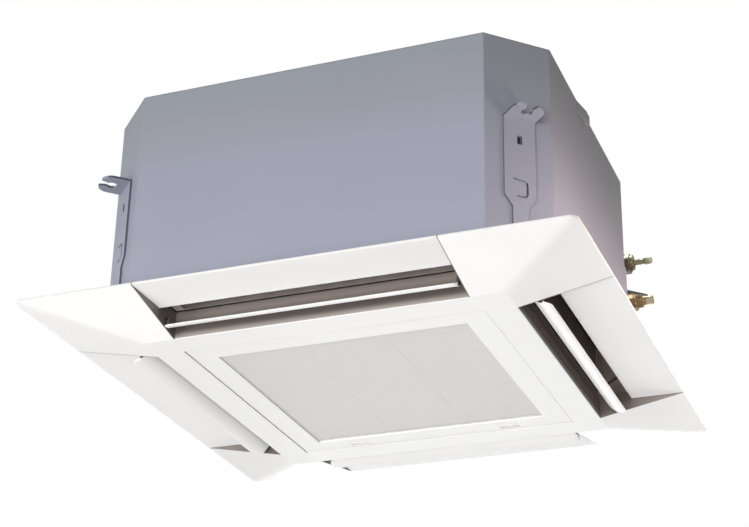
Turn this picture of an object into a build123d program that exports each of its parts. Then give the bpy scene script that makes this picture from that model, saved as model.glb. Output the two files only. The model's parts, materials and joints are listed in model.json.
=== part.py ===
"""Four-way ceiling cassette air conditioner, millimetres, +Z up.

The origin is the centre of the four suspension holes, at the underside of their tabs. Front is -Y,
right is +X, back is +Y and left is -X. The refrigerant pipes leave at the corner between right and back.
Heights are given above the ceiling plane, which is the top of the panel's rim.
"""

import os
from math import acos, asin, atan2, cos, degrees, hypot, pi, radians, sin, sqrt

from build123d import *

os.makedirs("parts", exist_ok=True)

# ---------------------------------------------------------------- driving dimensions

# whole unit: the tabs' holes are this much further apart than the casing's size less its corner cut
tab_spread = 30.0
suspension_height = 183.0

# casing
casing_size = 584.0
casing_top_height = 294.0
casing_bottom_height = 12.0
casing_cut = 64.0
pipe_corner_cut = 162.0
band_corner_cut = 152.0
band_height = 165.0
sheet = 1.0
bend_radius = 3.0
lid_flange_depth = 12.0
lid_lug_reach = 5.0
lid_lug_length = 46.0
lid_lug_height = 14.0
lid_lug_forward = 80.0
lid_bead_length = 90.0
lid_bead_width = 12.0
lid_bead_rise = 1.5
lid_bead_radius = 165.0

# decoration panel
panel_size = 700.0
panel_corner_radius = 10.0
rim_thickness = 3.0
rim_edge_width = 5.0
panel_drop = 26.0
panel_wall = 2.5
face_corner_radius = 12.0
outlet_length = 380.0
outlet_width = 44.0
duct_rise = 10.0
duct_step = 1.0
ledge_height = 4.0
ledge_width = 12.0
ledge_thickness = 3.0

# suction grille and filter
grille_band = 32.5
grille_gap = 1.0
grille_sink = 1.0
grille_skin = 2.5
grille_rim_rise = 8.5
louvre_size = 328.0
louvre_sink = 2.0
slat_pitch = 8.0
slat_thickness = 1.4
slat_height = 9.0
slat_lean = 35.0
rib_thickness = 3.0
rib_count = 2
hinge_bar = 5.5
hinge_pin_radius = 1.2
hinge_spacing = 300.0
hinge_notch = 22.0
hinge_grip = 7.0
filter_overlap = 3.0
filter_thickness = 4.0
filter_border = 8.0
filter_mesh_thickness = 0.8
filter_mesh_count = 16
filter_mesh_bar = 3.0

# latches of the suction grille
latch_spacing = 220.0
latch_width = 26.0
latch_length = 12.0
latch_knob = 3.0
latch_travel = 4.0
latch_tongue = 2.0
latch_gap = 0.4

# air-outlet flaps
flap_tilt = 27.5
flap_chord = 27.0
flap_thickness = 3.6
flap_camber = 2.4
flap_end_gap = 4.0
flap_axis_inset = 23.0
flap_lead = 4.0
flap_fall = 6.0
flap_pin_radius = 3.0
ear_thickness = 2.5
ear_radius = 4.5
bush_wall = 2.0
bush_flange = 1.4
socket_radius = 6.5
socket_length = 12.0
socket_clearance = 0.4
ball_radius = 4.0
ball_clearance = 0.3
link_radius = 2.0
running_clearance = 0.05

# swing motor
swing_motor_radius = 13.0
swing_motor_length = 20.0
swing_motor_inward = 6.0
swing_motor_up = 7.0
swing_shaft_radius = 2.5
swing_shaft_length = 6.0
swing_arm_width = 18.0
swing_arm_thickness = 5.0
swing_arm_lift = 9.0

# drain pan and outlets through it
pan_height = 58.0
pan_wall = 6.0
pan_outlet_length = 356.0
pan_outlet_width = 36.0
duct_wall = 10.0
inlet_size = 352.0
inlet_straight = 92.0
inlet_wall = 8.0
trough_gap = 6.0
trough_depth = 20.0
seal_margin = 6.0

# heat exchanger
coil_thickness = 34.0
coil_bend = 60.0
coil_end = 110.0
coil_height = 218.0
end_plate = 1.5
end_plate_margin = 3.0
return_bend_radius = 4.0
return_bend_rise = 18.0
return_bend_count = 8

# bell mouth, fan and motor
bell_height = 60.0
bell_plate = 3.0
throat_radius = 120.0
bell_flare = 23.0
bell_lip = 7.0
shroud_gap = 4.0
shroud_wall = 2.0
shroud_bottom_height = 82.0
shroud_rise = 33.0
shroud_lip = 11.0
fan_radius = 162.0
fan_plate = 2.5
fan_plate_height = 226.0
fan_bucket_radius = 70.0
fan_bucket_floor = 163.0
fan_bucket_base = 56.0
fan_boss_radius = 18.0
fan_boss_height = 145.0
blade_count = 7
blade_inner_radius = 106.0
blade_sweep = 30.0
blade_thickness = 3.0
shaft_radius = 4.0
shaft_bottom_height = 134.0
nut_across = 13.0
nut_height = 7.0
motor_radius = 52.0
motor_bottom_height = 178.0
motor_flange_height = 258.0
motor_flange_radius = 72.0
motor_flange = 4.0
motor_nose_radius = 14.0
motor_nose = 6.0
bush_ring_radius = 62.0
motor_bush_radius = 8.0
motor_bush_height = 12.0
mount_radius = 77.0
mount_wall = 2.0
motor_screw_radius = 2.5
screw_clearance = 0.1
motor_screw_head = 5.0
motor_screw_head_height = 3.0

# insulation
liner_thickness = 15.0
liner_top = 21.0
liner_corner_extra = 30.0
liner_pipe_extra = 14.0
liner_hole_radius = 82.0

# suspension brackets
bracket_thickness = 3.0
bracket_width = 42.0
bracket_foot_width = 21.0
bracket_shoulder_height = 80.0
bracket_jog = 14.0
bracket_foot_height = 30.0
tab_overhang = 15.0
tab_corner = 14.0
suspension_hole_radius = 7.0
suspension_throat = 9.4
suspension_mouth = 16.0
locating_hole_width = 6.4
locating_hole_height = 11.6
locating_hole_level = 155.0
keeper_reach = 9.0
keeper_top = 102.0
keeper_bottom = 80.0
keeper_slot = 2.6
keeper_corner = 5.0
pipe_bracket_top_height = 224.0
pipe_tab_width = 26.0

# pipes
header_gap = 16.3
pipe_turn_distance = 325.0
pipe_bend = 18.0
pipe_end = 316.0
liquid_level = 198.0
gas_level = 138.0
liquid_radius = 3.175
gas_radius = 6.35
gas_pipe_wall = 1.0
gas_pipe_open_depth = 30.0
header_radius = 9.0
header_bottom_height = 92.0
header_top_height = 176.0
gas_feeder_count = 4
gas_feeder_pitch = 22.0
liquid_feeder_count = 2
liquid_feeder_pitch = 12.0
distributor_radius = 10.0
distributor_height = 22.0
feeder_radius = 3.0
liquid_nut_across = 26.0
gas_nut_across = 22.0
liquid_nut_length = 14.0
gas_nut_length = 24.0
flare_wall = 0.6
flare_showing = 1.5
nut_start = 278.0
nut_hex_share = 0.7
cap_radius = 5.0
cap_length = 9.0
cap_end = 2.0
cover_thickness = 1.2
cover_margin = 8.0
cover_inner_reach = 34.0
cover_outer_reach = 29.0
cover_bottom_height = 114.0
cover_top_height = 256.0
pipe_hole_clearance = 2.0
grommet_level = 232.0
cable_hole_radius = 9.0
grommet_wall = 3.0
grommet_length = 6.0

# drain
drain_offset = 46.0
float_offset = 41.0
drain_level = 205.0
drain_radius = 13.0
drain_neck_radius = 12.5
drain_bore = 10.0
drain_reach = 46.0
drain_inset = 18.0
drain_flange_radius = 17.0
drain_flange = 2.0
pump_diagonal = 170.0
sump_radius = 34.0
pump_foot_radius = 20.0
pump_foot_height = 30.0
pump_radius = 28.0
pump_height = 70.0
pump_motor_radius = 20.0
pump_motor_height = 38.0
pump_chamber_radius = 15.0
pump_chamber_height = 14.0
impeller_radius = 13.0
impeller_height = 9.0
impeller_shaft_radius = 2.0
impeller_shaft_length = 20.0
arm_width = 10.0
spigot_radius = 9.0
spigot_height = 22.0
hose_radius = 10.0
hose_bore = 7.5
hose_bend = 24.0
hose_overlap = 6.0
float_radius = 11.0
float_height = 20.0
float_stem_radius = 3.0
float_collar_radius = 5.0
float_collar = 2.0
float_floor_gap = 4.0
float_arm_height = 104.0

# control box
box_width = 168.0
box_depth = 44.0
box_wall = 1.2
box_gap = 8.0
box_lid = 1.5
board_thickness = 1.6
board_margin = 4.0
board_lift = 8.0
stand_off_radius = 3.0
capacitor_side = 52.0
capacitor_length = 24.0
capacitor_width = 20.0
relay_side = 20.0
relay_radius = 9.0
board_part_height = 16.0
terminal_width = 54.0
terminal_depth = 16.0
terminal_height = 14.0
terminal_poles = 6
terminal_inset = 12.0
terminal_well_radius = 2.6
terminal_well_depth = 5.0

# panel screws
panel_screw_edge = 5.5
panel_screw_radius = 2.5
panel_screw_head = 4.5
panel_screw_head_height = 3.0
panel_screw_length = 18.0

# ---------------------------------------------------------------- values worked out from them

ceiling = -suspension_height
rim_bottom = ceiling - rim_thickness
face = ceiling - panel_drop
duct_top = ceiling + duct_rise
casing_bottom = ceiling + casing_bottom_height
casing_top = ceiling + casing_top_height
lid_bottom = casing_top - sheet
band_top = ceiling + band_height
pan_top = casing_bottom + pan_height
bell_bottom = ceiling + bell_height
root2 = sqrt(2.0)

# from the inlet outwards: the pan's trough, the heat exchanger over it, the outlets and the flaps
half_inlet = inlet_size / 2
inlet_corner_radius = (inlet_size - inlet_straight) / 2
trough_inner = half_inlet + inlet_wall
coil_centre = trough_inner + trough_gap + coil_thickness / 2
trough_outer = coil_centre + coil_thickness / 2 + trough_gap
pan_outlet_inner = trough_outer + pan_wall
outlet_inner_offset = pan_outlet_inner - duct_step
flap_axis_offset = outlet_inner_offset + flap_axis_inset
box_far_edge = half_inlet - box_gap
box_near_edge = box_far_edge - box_depth

# the panel's face slopes up from the outlets to its rim, and the flap couplings clear its inside
slope_run = panel_size / 2 - outlet_inner_offset
slope_rise = panel_drop - rim_thickness
slope = slope_rise / slope_run
flap_axis_drop = panel_drop - panel_wall - flap_axis_inset * slope - socket_radius - socket_clearance

# the grille's opening is the louvre with a band all round, and the filter overlaps the louvre
grille_opening = louvre_size + 2 * grille_band
filter_size = louvre_size + 2 * filter_overlap
panel_screw_offset = grille_opening / 2 - panel_screw_edge

# the suspension holes' square and the pipes' place across their corner
suspension_pitch = casing_size - casing_cut + tab_spread
header_place = (coil_centre, coil_end + end_plate + header_gap)
pipe_offset = (header_place[1] - header_place[0]) / root2

outlet_outer_offset = outlet_inner_offset + outlet_width
half_outlet = outlet_length / 2
half_casing = casing_size / 2
cover_width = cover_inner_reach + cover_outer_reach
cover_height = cover_top_height - cover_bottom_height
cover_middle = pipe_offset + (cover_outer_reach - cover_inner_reach) / 2
cover_middle_level = ceiling + (cover_bottom_height + cover_top_height) / 2
side_angles = {"front": -90.0, "right": 0.0, "back": 90.0, "left": 180.0}
corner_angles = {"front_right": -45.0, "back_right": 45.0, "back_left": 135.0, "front_left": 225.0}
pipe_corner = corner_angles["back_right"]


def finish(builder, name):
    """Labels a finished piece and writes its file."""
    builder.part.label = name
    export_step(builder.part, f"parts/{name}.step")


def side_plane(angle):
    """A vertical plane through the middle: x runs outwards at this angle, y runs up."""
    outward = (cos(radians(angle)), sin(radians(angle)), 0)
    return Plane(origin=(0, 0, 0), x_dir=outward, z_dir=(outward[1], -outward[0], 0))


def corner_plane(angle, distance):
    """A vertical plane across a corner, this far from the middle: x runs sideways, y up, z outwards."""
    outward = (cos(radians(angle)), sin(radians(angle)), 0)
    middle = (distance * outward[0], distance * outward[1], 0)
    return Plane(origin=middle, x_dir=(-outward[1], outward[0], 0), z_dir=outward)


def corner_distance(cut):
    """How far from the middle a casing corner's cut face lies."""
    return (casing_size - cut) / root2


def casing_points(inset, pipe_cut, small_cut=casing_cut):
    """Corners of the casing's plan, moved inwards: a square with three small cuts and one large."""
    half = half_casing - inset
    small = small_cut - inset * (2 - root2)
    large = pipe_cut - inset * (2 - root2)
    return [
        (-half + small, -half),
        (half - small, -half),
        (half, -half + small),
        (half, half - large),
        (half - large, half),
        (-half + small, half),
        (-half, half - small),
        (-half, -half + small),
    ]


def casing_profile(inset, pipe_cut, radius, small_cut=casing_cut, mode=Mode.ADD):
    """The casing's plan, moved inwards, in the sketch that is open."""
    with BuildSketch(Plane.XY) as profile:
        with BuildLine():
            Polyline(*casing_points(inset, pipe_cut, small_cut), close=True)
        make_face()
        fillet(vertices(), radius)
    add(profile.sketch_local, mode=mode)


def box_between(low, high, mode=Mode.ADD):
    """A box from its lowest to its highest corner, in the part that is open."""
    size = [b - a for a, b in zip(low, high)]
    centre = tuple((a + b) / 2 for a, b in zip(low, high))
    with Locations(centre):
        Box(*size, mode=mode)


def side_box(angle, inner, outer, half_length, bottom, top, mode=Mode.ADD):
    """A box on one side of the unit: from inner to outer away from the middle, half_length each way."""
    with BuildSketch(side_plane(angle)) as section:
        with Locations(((inner + outer) / 2, (bottom + top) / 2)):
            Rectangle(outer - inner, top - bottom)
    extrude(section.sketch, amount=half_length, both=True, mode=mode)


# ---------------------------------------------------------------- casing

upper_distance = corner_distance(pipe_corner_cut)
band_distance = corner_distance(band_corner_cut)
small_distance = corner_distance(casing_cut)
bracket_distances = {
    name: upper_distance if angle == pipe_corner else small_distance for name, angle in corner_angles.items()
}
hole_distance = suspension_pitch / root2
locating_level = ceiling + locating_hole_level

with BuildPart() as casing_side_sheet:
    with BuildSketch(Plane.XY.offset(casing_bottom)):
        casing_profile(0, band_corner_cut, bend_radius)
        casing_profile(sheet, band_corner_cut, bend_radius - sheet, mode=Mode.SUBTRACT)
    extrude(amount=band_top - casing_bottom)
    with BuildSketch(Plane.XY.offset(band_top)):
        casing_profile(0, pipe_corner_cut, bend_radius)
        casing_profile(sheet, pipe_corner_cut, bend_radius - sheet, mode=Mode.SUBTRACT)
    extrude(amount=lid_bottom - band_top)
    # the ledge where the pipe corner steps back above the lower band
    with BuildSketch(Plane.XY.offset(band_top - sheet)):
        casing_profile(0, band_corner_cut, bend_radius)
        casing_profile(sheet, pipe_corner_cut, bend_radius - sheet, mode=Mode.SUBTRACT)
    extrude(amount=sheet)
    # locating holes behind the suspension brackets
    for angle in corner_angles.values():
        if angle == pipe_corner:
            continue
        with BuildSketch(corner_plane(angle, small_distance - 2 * sheet)):
            with Locations((0, locating_level)):
                Rectangle(locating_hole_width, locating_hole_height)
        extrude(amount=3 * sheet, mode=Mode.SUBTRACT)
    # window for the pipes, behind its cover, and the drain's hole
    with BuildSketch(corner_plane(pipe_corner, upper_distance - 2 * sheet)):
        with Locations((cover_middle, cover_middle_level)):
            Rectangle(cover_width - 2 * cover_margin, cover_height - 2 * cover_margin)
    extrude(amount=band_distance - upper_distance + 3 * sheet, mode=Mode.SUBTRACT)
    with BuildSketch(corner_plane(pipe_corner, upper_distance - 2 * sheet)):
        with Locations((drain_offset, ceiling + drain_level)):
            Circle(drain_neck_radius)
    extrude(amount=3 * sheet, mode=Mode.SUBTRACT)
finish(casing_side_sheet, "casing_side_sheet")

lid_lug_middle = -lid_lug_forward

with BuildPart() as casing_lid:
    with BuildSketch(Plane.XY.offset(lid_bottom)):
        casing_profile(0, pipe_corner_cut, bend_radius)
    extrude(amount=sheet)
    with BuildSketch(Plane.XY.offset(lid_bottom)):
        casing_profile(sheet, pipe_corner_cut, bend_radius - sheet)
        casing_profile(2 * sheet, pipe_corner_cut, bend_radius - sheet, mode=Mode.SUBTRACT)
    extrude(amount=-lid_flange_depth)
    with BuildSketch(Plane.XY.offset(casing_top)):
        with PolarLocations(lid_bead_radius, 4):
            SlotOverall(lid_bead_length, lid_bead_width)
    extrude(amount=lid_bead_rise)
    with BuildSketch(Plane.XY.offset(lid_bottom)):
        with PolarLocations(bush_ring_radius, 4, start_angle=45):
            Circle(motor_screw_radius + screw_clearance)
    extrude(amount=sheet, mode=Mode.SUBTRACT)
    # pressed lug that folds over the right side's top edge
    with BuildSketch(Plane.XY.offset(casing_top - lid_lug_height)):
        with BuildLine():
            Polyline(
                (half_casing, lid_lug_middle - lid_lug_length / 2),
                (half_casing + lid_lug_reach, lid_lug_middle + lid_lug_length / 6),
                (half_casing + lid_lug_reach, lid_lug_middle + lid_lug_length / 2),
                (half_casing, lid_lug_middle + lid_lug_length / 2),
                close=True,
            )
        make_face()
    extrude(amount=lid_lug_height)
finish(casing_lid, "casing_lid")

liner_bottom = pan_top
liner_ceiling = lid_bottom - liner_top
liner_pipe_cut = pipe_corner_cut + liner_pipe_extra
liner_corner_cut = casing_cut + liner_corner_extra

with BuildPart() as insulation_liner:
    with BuildSketch(Plane.XY.offset(liner_bottom)):
        casing_profile(2 * sheet, band_corner_cut, bend_radius)
    extrude(amount=band_top - sheet - liner_bottom)
    with BuildSketch(Plane.XY.offset(band_top - sheet)):
        casing_profile(2 * sheet, pipe_corner_cut, bend_radius)
    extrude(amount=lid_bottom - band_top + sheet)
    # the space round the heat exchanger
    with BuildSketch(Plane.XY.offset(liner_bottom)):
        casing_profile(2 * sheet + liner_thickness, liner_pipe_cut, bend_radius, liner_corner_cut)
    extrude(amount=liner_ceiling - liner_bottom, mode=Mode.SUBTRACT)
    # the fan motor's well
    with BuildSketch(Plane.XY.offset(liner_ceiling)):
        Circle(liner_hole_radius)
    extrude(amount=liner_top, mode=Mode.SUBTRACT)
    # ways out for the pipes, the cable and the drain
    with BuildSketch(corner_plane(pipe_corner, upper_distance - 4 * liner_thickness)):
        with Locations((cover_middle, cover_middle_level)):
            Rectangle(cover_width - 2 * cover_margin, cover_height - 2 * cover_margin)
        with Locations((drain_offset, ceiling + drain_level)):
            Circle(drain_radius)
    extrude(amount=5 * liner_thickness, mode=Mode.SUBTRACT)
finish(insulation_liner, "insulation_liner")

# ---------------------------------------------------------------- suspension brackets

for name, angle in corner_angles.items():
    distance = bracket_distances[name]
    at_pipes = angle == pipe_corner
    hole_out = hole_distance - distance
    tab_end = hole_out + tab_overhang
    tab_width = pipe_tab_width if at_pipes else bracket_width
    foot = band_top + sheet if at_pipes else ceiling + bracket_foot_height
    plate_top = ceiling + pipe_bracket_top_height
    shoulder = ceiling + bracket_shoulder_height
    with BuildPart() as bracket:
        with BuildSketch(corner_plane(angle, distance)):
            with BuildLine():
                if at_pipes:
                    Polyline(
                        (-bracket_width / 2, plate_top),
                        (bracket_width / 2, plate_top),
                        (bracket_width / 2, foot),
                        (-bracket_width / 2, foot),
                        close=True,
                    )
                else:
                    Polyline(
                        (-bracket_width / 2, bracket_thickness),
                        (bracket_width / 2, bracket_thickness),
                        (bracket_width / 2, shoulder),
                        (bracket_foot_width / 2, shoulder - bracket_jog),
                        (bracket_foot_width / 2, foot),
                        (-bracket_foot_width / 2, foot),
                        (-bracket_foot_width / 2, shoulder - bracket_jog),
                        (-bracket_width / 2, shoulder),
                        close=True,
                    )
            make_face()
            if not at_pipes:
                with Locations((0, locating_level)):
                    Rectangle(locating_hole_width, locating_hole_height, mode=Mode.SUBTRACT)
        extrude(amount=bracket_thickness)
        # the tab that the threaded rod's nuts clamp, drawn in plan with x outwards
        tab_plane = Plane(origin=(0, 0, 0), x_dir=corner_plane(angle, 0).z_dir, z_dir=(0, 0, 1))
        with BuildSketch(tab_plane):
            with Locations((distance + tab_end / 2, 0)):
                Rectangle(tab_end, tab_width)
            outer_corners = vertices().group_by(lambda v: hypot(v.X, v.Y))[-1]
            fillet(outer_corners, min(tab_corner, tab_width / 2 - suspension_throat / 2))
            with Locations((hole_distance, 0)):
                Circle(suspension_hole_radius, mode=Mode.SUBTRACT)
            # the throat, which flares towards the tab's end
            with BuildLine():
                Polyline(
                    (hole_distance, -suspension_throat / 2),
                    (hole_distance + suspension_hole_radius, -suspension_throat / 2),
                    (hole_distance + tab_overhang + 1, -suspension_mouth / 2),
                    (hole_distance + tab_overhang + 1, suspension_mouth / 2),
                    (hole_distance + suspension_hole_radius, suspension_throat / 2),
                    (hole_distance, suspension_throat / 2),
                    close=True,
                )
            make_face(mode=Mode.SUBTRACT)
        extrude(amount=bracket_thickness)
        if at_pipes:
            # webs under the long tab, down to the plate's foot
            web_plane = Plane(origin=(0, 0, 0), x_dir=tab_plane.x_dir, z_dir=-tab_plane.y_dir)
            with BuildSketch(
                web_plane.offset(tab_width / 2 - bracket_thickness),
                web_plane.offset(-tab_width / 2),
            ):
                with BuildLine():
                    Polyline(
                        (distance, 0),
                        (distance + tab_end - tab_overhang, 0),
                        (distance + bracket_thickness, foot),
                        (distance, foot),
                        close=True,
                    )
                make_face()
            extrude(amount=bracket_thickness)
        else:
            # the hooked slot that frees a locating tongue
            with BuildLine(mode=Mode.PRIVATE) as slot_line:
                FilletPolyline(
                    (-keeper_reach, ceiling + keeper_top),
                    (keeper_reach, ceiling + keeper_top - keeper_slot / 2),
                    (keeper_reach, ceiling + keeper_bottom),
                    (-keeper_reach / 2, ceiling + keeper_bottom),
                    radius=keeper_corner,
                )
            with BuildSketch(Plane.XY, mode=Mode.PRIVATE) as slot:
                trace(slot_line.line, keeper_slot)
            with BuildSketch(corner_plane(angle, distance)):
                add(slot.sketch_local)
            extrude(amount=bracket_thickness, mode=Mode.SUBTRACT)
    finish(bracket, f"suspension_bracket_{name}")

# ---------------------------------------------------------------- drain pan and its seal


def inlet_profile(mode=Mode.ADD):
    """The rounded square through the drain pan that the bell mouth closes."""
    RectangleRounded(inlet_size, inlet_size, inlet_corner_radius, mode=mode)


def duct_limit(mode):
    """The plan that the air's ways up to the heat exchanger stay inside, a wall's width from the casing."""
    casing_profile(sheet + duct_wall, band_corner_cut, bend_radius, mode=mode)


def outlet_plan(margin=0.0):
    """The four outlets' plans, made larger all round by a margin."""
    with PolarLocations((outlet_inner_offset + outlet_outer_offset) / 2, 4):
        Rectangle(outlet_width + 2 * margin, outlet_length + 2 * margin)


pump_place = (pump_diagonal, pump_diagonal)
sideways = (-1 / root2, 1 / root2)
spigot_place = tuple(p + drain_offset * s for p, s in zip(pump_place, sideways))
float_place = tuple(p - float_offset * s for p, s in zip(pump_place, sideways))
trough_floor = pan_top - trough_depth

with BuildPart() as drain_pan:
    with BuildSketch(Plane.XY.offset(casing_bottom)):
        casing_profile(sheet, band_corner_cut, bend_radius - sheet)
        inlet_profile(Mode.SUBTRACT)
    extrude(amount=pan_height)
    # air outlets, with a wall left beside the casing
    with BuildSketch(Plane.XY.offset(casing_bottom)):
        with PolarLocations(pan_outlet_inner + pan_outlet_width / 2, 4):
            Rectangle(pan_outlet_width, pan_outlet_length)
        duct_limit(Mode.INTERSECT)
    extrude(amount=pan_height, mode=Mode.SUBTRACT)
    # trough under the heat exchanger
    with BuildSketch(Plane.XY.offset(trough_floor)):
        RectangleRounded(2 * trough_outer, 2 * trough_outer, coil_bend + trough_outer - coil_centre)
        RectangleRounded(2 * trough_inner, 2 * trough_inner, inlet_corner_radius, mode=Mode.SUBTRACT)
    extrude(amount=trough_depth, mode=Mode.SUBTRACT)
    # sump for the pump and the float
    with BuildSketch(Plane.XY.offset(trough_floor)):
        with Locations(pump_place):
            Circle(sump_radius)
        with Locations(float_place):
            Circle(float_radius + 2 * float_floor_gap)
    extrude(amount=trough_depth, mode=Mode.SUBTRACT)
    with BuildSketch(Plane.XY.offset(casing_bottom)):
        with GridLocations(2 * panel_screw_offset, 2 * panel_screw_offset, 2, 2):
            Circle(panel_screw_radius + screw_clearance)
    extrude(amount=panel_screw_length, mode=Mode.SUBTRACT)
finish(drain_pan, "drain_pan")

with BuildPart() as duct_seals:
    with BuildSketch(Plane.XY.offset(duct_top)):
        outlet_plan(seal_margin)
        casing_profile(sheet, band_corner_cut, bend_radius, mode=Mode.INTERSECT)
    extrude(amount=casing_bottom - duct_top)
    with BuildSketch(Plane.XY.offset(duct_top)):
        outlet_plan()
        duct_limit(Mode.INTERSECT)
    extrude(amount=casing_bottom - duct_top, mode=Mode.SUBTRACT)
finish(duct_seals, "duct_seals")

# ---------------------------------------------------------------- heat exchanger

coil_bottom = trough_floor
half_coil = coil_thickness / 2

with BuildPart() as coil_fins:
    with BuildSketch(Plane.XY.offset(coil_bottom)):
        outer_half = coil_centre + half_coil
        inner_half = coil_centre - half_coil
        RectangleRounded(2 * outer_half, 2 * outer_half, coil_bend + half_coil)
        RectangleRounded(2 * inner_half, 2 * inner_half, coil_bend - half_coil, mode=Mode.SUBTRACT)
        # open at the pipe corner
        with Locations((coil_end, coil_end)):
            Rectangle(casing_size, casing_size, align=(Align.MIN, Align.MIN), mode=Mode.SUBTRACT)
    extrude(amount=coil_height)
finish(coil_fins, "coil_fins")

with BuildPart() as coil_end_plates:
    plate_low = coil_centre - half_coil - end_plate_margin
    plate_high = coil_centre + half_coil + end_plate_margin
    box_between(
        (plate_low, coil_end, coil_bottom),
        (plate_high, coil_end + end_plate, coil_bottom + coil_height),
    )
    box_between(
        (coil_end, plate_low, coil_bottom),
        (coil_end + end_plate, plate_high, coil_bottom + coil_height),
    )
finish(coil_end_plates, "coil_end_plates")

return_bend_spacing = coil_height / return_bend_count
bend_levels = [coil_bottom + return_bend_spacing * (i + 0.5) for i in range(return_bend_count)]

with BuildPart() as coil_return_bends:
    # hairpins at the back end plate, each a half ring in a vertical plane
    for level in bend_levels:
        for across in (-half_coil / 2, half_coil / 2):
            start = (coil_end + end_plate, coil_centre + across, level - return_bend_rise / 2)
            with BuildSketch(Plane(origin=start, x_dir=(0, 1, 0), z_dir=(1, 0, 0))):
                Circle(return_bend_radius)
            turn_axis = Axis((coil_end + end_plate, coil_centre + across, level), (0, 1, 0))
            revolve(axis=turn_axis, revolution_arc=-180)
finish(coil_return_bends, "coil_return_bends")

# ---------------------------------------------------------------- refrigerant pipes


def pipe_plane(depth):
    """Plane across the pipe corner, this far outside its face."""
    return corner_plane(pipe_corner, upper_distance + depth)


def pipe_point(offset, depth):
    """Where a point of the pipe corner's plane lies in plan."""
    plane = pipe_plane(depth)
    place = plane.origin + plane.x_dir * offset
    return (place.X, place.Y)


header_depth = upper_distance - (header_place[0] + header_place[1]) / root2
turn_place = pipe_point(pipe_offset, pipe_turn_distance - upper_distance)


def pipe_run(level, radius):
    """A pipe from its header out through the cover, then bent to run to the right."""
    with BuildLine() as path:
        FilletPolyline(
            (*header_place, ceiling + level),
            (*turn_place, ceiling + level),
            (pipe_end, turn_place[1], ceiling + level),
            radius=pipe_bend,
        )
    with BuildSketch(pipe_plane(-header_depth)) as ring:
        with Locations((pipe_offset, ceiling + level)):
            Circle(radius)
    sweep(ring.sketch, path=path.line)


def across_right(start, level):
    """Plane across the pipes' outer runs, centred on one of them at this distance to the right."""
    return Plane(origin=(start, turn_place[1], ceiling + level), x_dir=(0, 1, 0), z_dir=(1, 0, 0))


def feeders(middle_level, count, pitch):
    """Short tubes from a header to the heat exchanger's end plate, spread about this level."""
    for i in range(count):
        level = middle_level + (i - (count - 1) / 2) * pitch
        start = Plane(origin=(*header_place, ceiling + level), x_dir=(1, 0, 0), z_dir=(0, -1, 0))
        with BuildSketch(start) as tube:
            Circle(feeder_radius)
        extrude(tube.sketch, amount=header_gap)


with BuildPart() as gas_pipe:
    pipe_run(gas_level, gas_radius)
    with BuildSketch(Plane.XY.offset(ceiling + header_bottom_height)):
        with Locations(header_place):
            Circle(header_radius)
    extrude(amount=header_top_height - header_bottom_height)
    feeders((header_bottom_height + header_top_height) / 2, gas_feeder_count, gas_feeder_pitch)
    # the flare, thicker under its nut and just beyond it
    with BuildSketch(across_right(nut_start, gas_level)):
        Circle(gas_radius + flare_wall)
    extrude(amount=gas_nut_length + flare_showing)
    with BuildSketch(across_right(pipe_end, gas_level)):
        Circle(gas_radius - gas_pipe_wall)
    extrude(amount=-gas_pipe_open_depth, mode=Mode.SUBTRACT)
finish(gas_pipe, "gas_pipe")

with BuildPart() as liquid_pipe:
    pipe_run(liquid_level, liquid_radius)
    with BuildSketch(Plane.XY.offset(ceiling + liquid_level - distributor_height / 2)):
        with Locations(header_place):
            Circle(distributor_radius)
    extrude(amount=distributor_height)
    feeders(liquid_level, liquid_feeder_count, liquid_feeder_pitch)
finish(liquid_pipe, "liquid_pipe")


def flare_nut(level, across, length, bore):
    """A hexagonal union nut with a round shoulder, on a pipe at this level."""
    with BuildSketch(across_right(nut_start, level)) as hexagon:
        RegularPolygon(across / 2, 6, major_radius=False)
        Circle(bore, mode=Mode.SUBTRACT)
    extrude(hexagon.sketch, amount=length * nut_hex_share)
    with BuildSketch(across_right(nut_start + length * nut_hex_share, level)) as shoulder:
        Circle(across * 0.42)
        Circle(bore, mode=Mode.SUBTRACT)
    extrude(shoulder.sketch, amount=length * (1 - nut_hex_share))


with BuildPart() as gas_flare_nut:
    flare_nut(gas_level, gas_nut_across, gas_nut_length, gas_radius + flare_wall)
finish(gas_flare_nut, "gas_flare_nut")

with BuildPart() as liquid_flare_nut:
    flare_nut(liquid_level, liquid_nut_across, liquid_nut_length, liquid_radius)
finish(liquid_flare_nut, "liquid_flare_nut")

with BuildPart() as liquid_pipe_cap:
    with BuildSketch(across_right(pipe_end - cap_length, liquid_level)):
        Circle(cap_radius)
    extrude(amount=cap_length + cap_end)
    fillet(edges().filter_by(GeomType.CIRCLE), cap_end)
    with BuildSketch(across_right(pipe_end - cap_length, liquid_level)):
        Circle(liquid_radius)
    extrude(amount=cap_length, mode=Mode.SUBTRACT)
finish(liquid_pipe_cap, "liquid_pipe_cap")

grommet_outer = cable_hole_radius + grommet_wall

cover_depth = band_distance - upper_distance
cover_front = corner_plane(pipe_corner, band_distance)
flange_height = ceiling + cover_top_height - band_top

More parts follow.
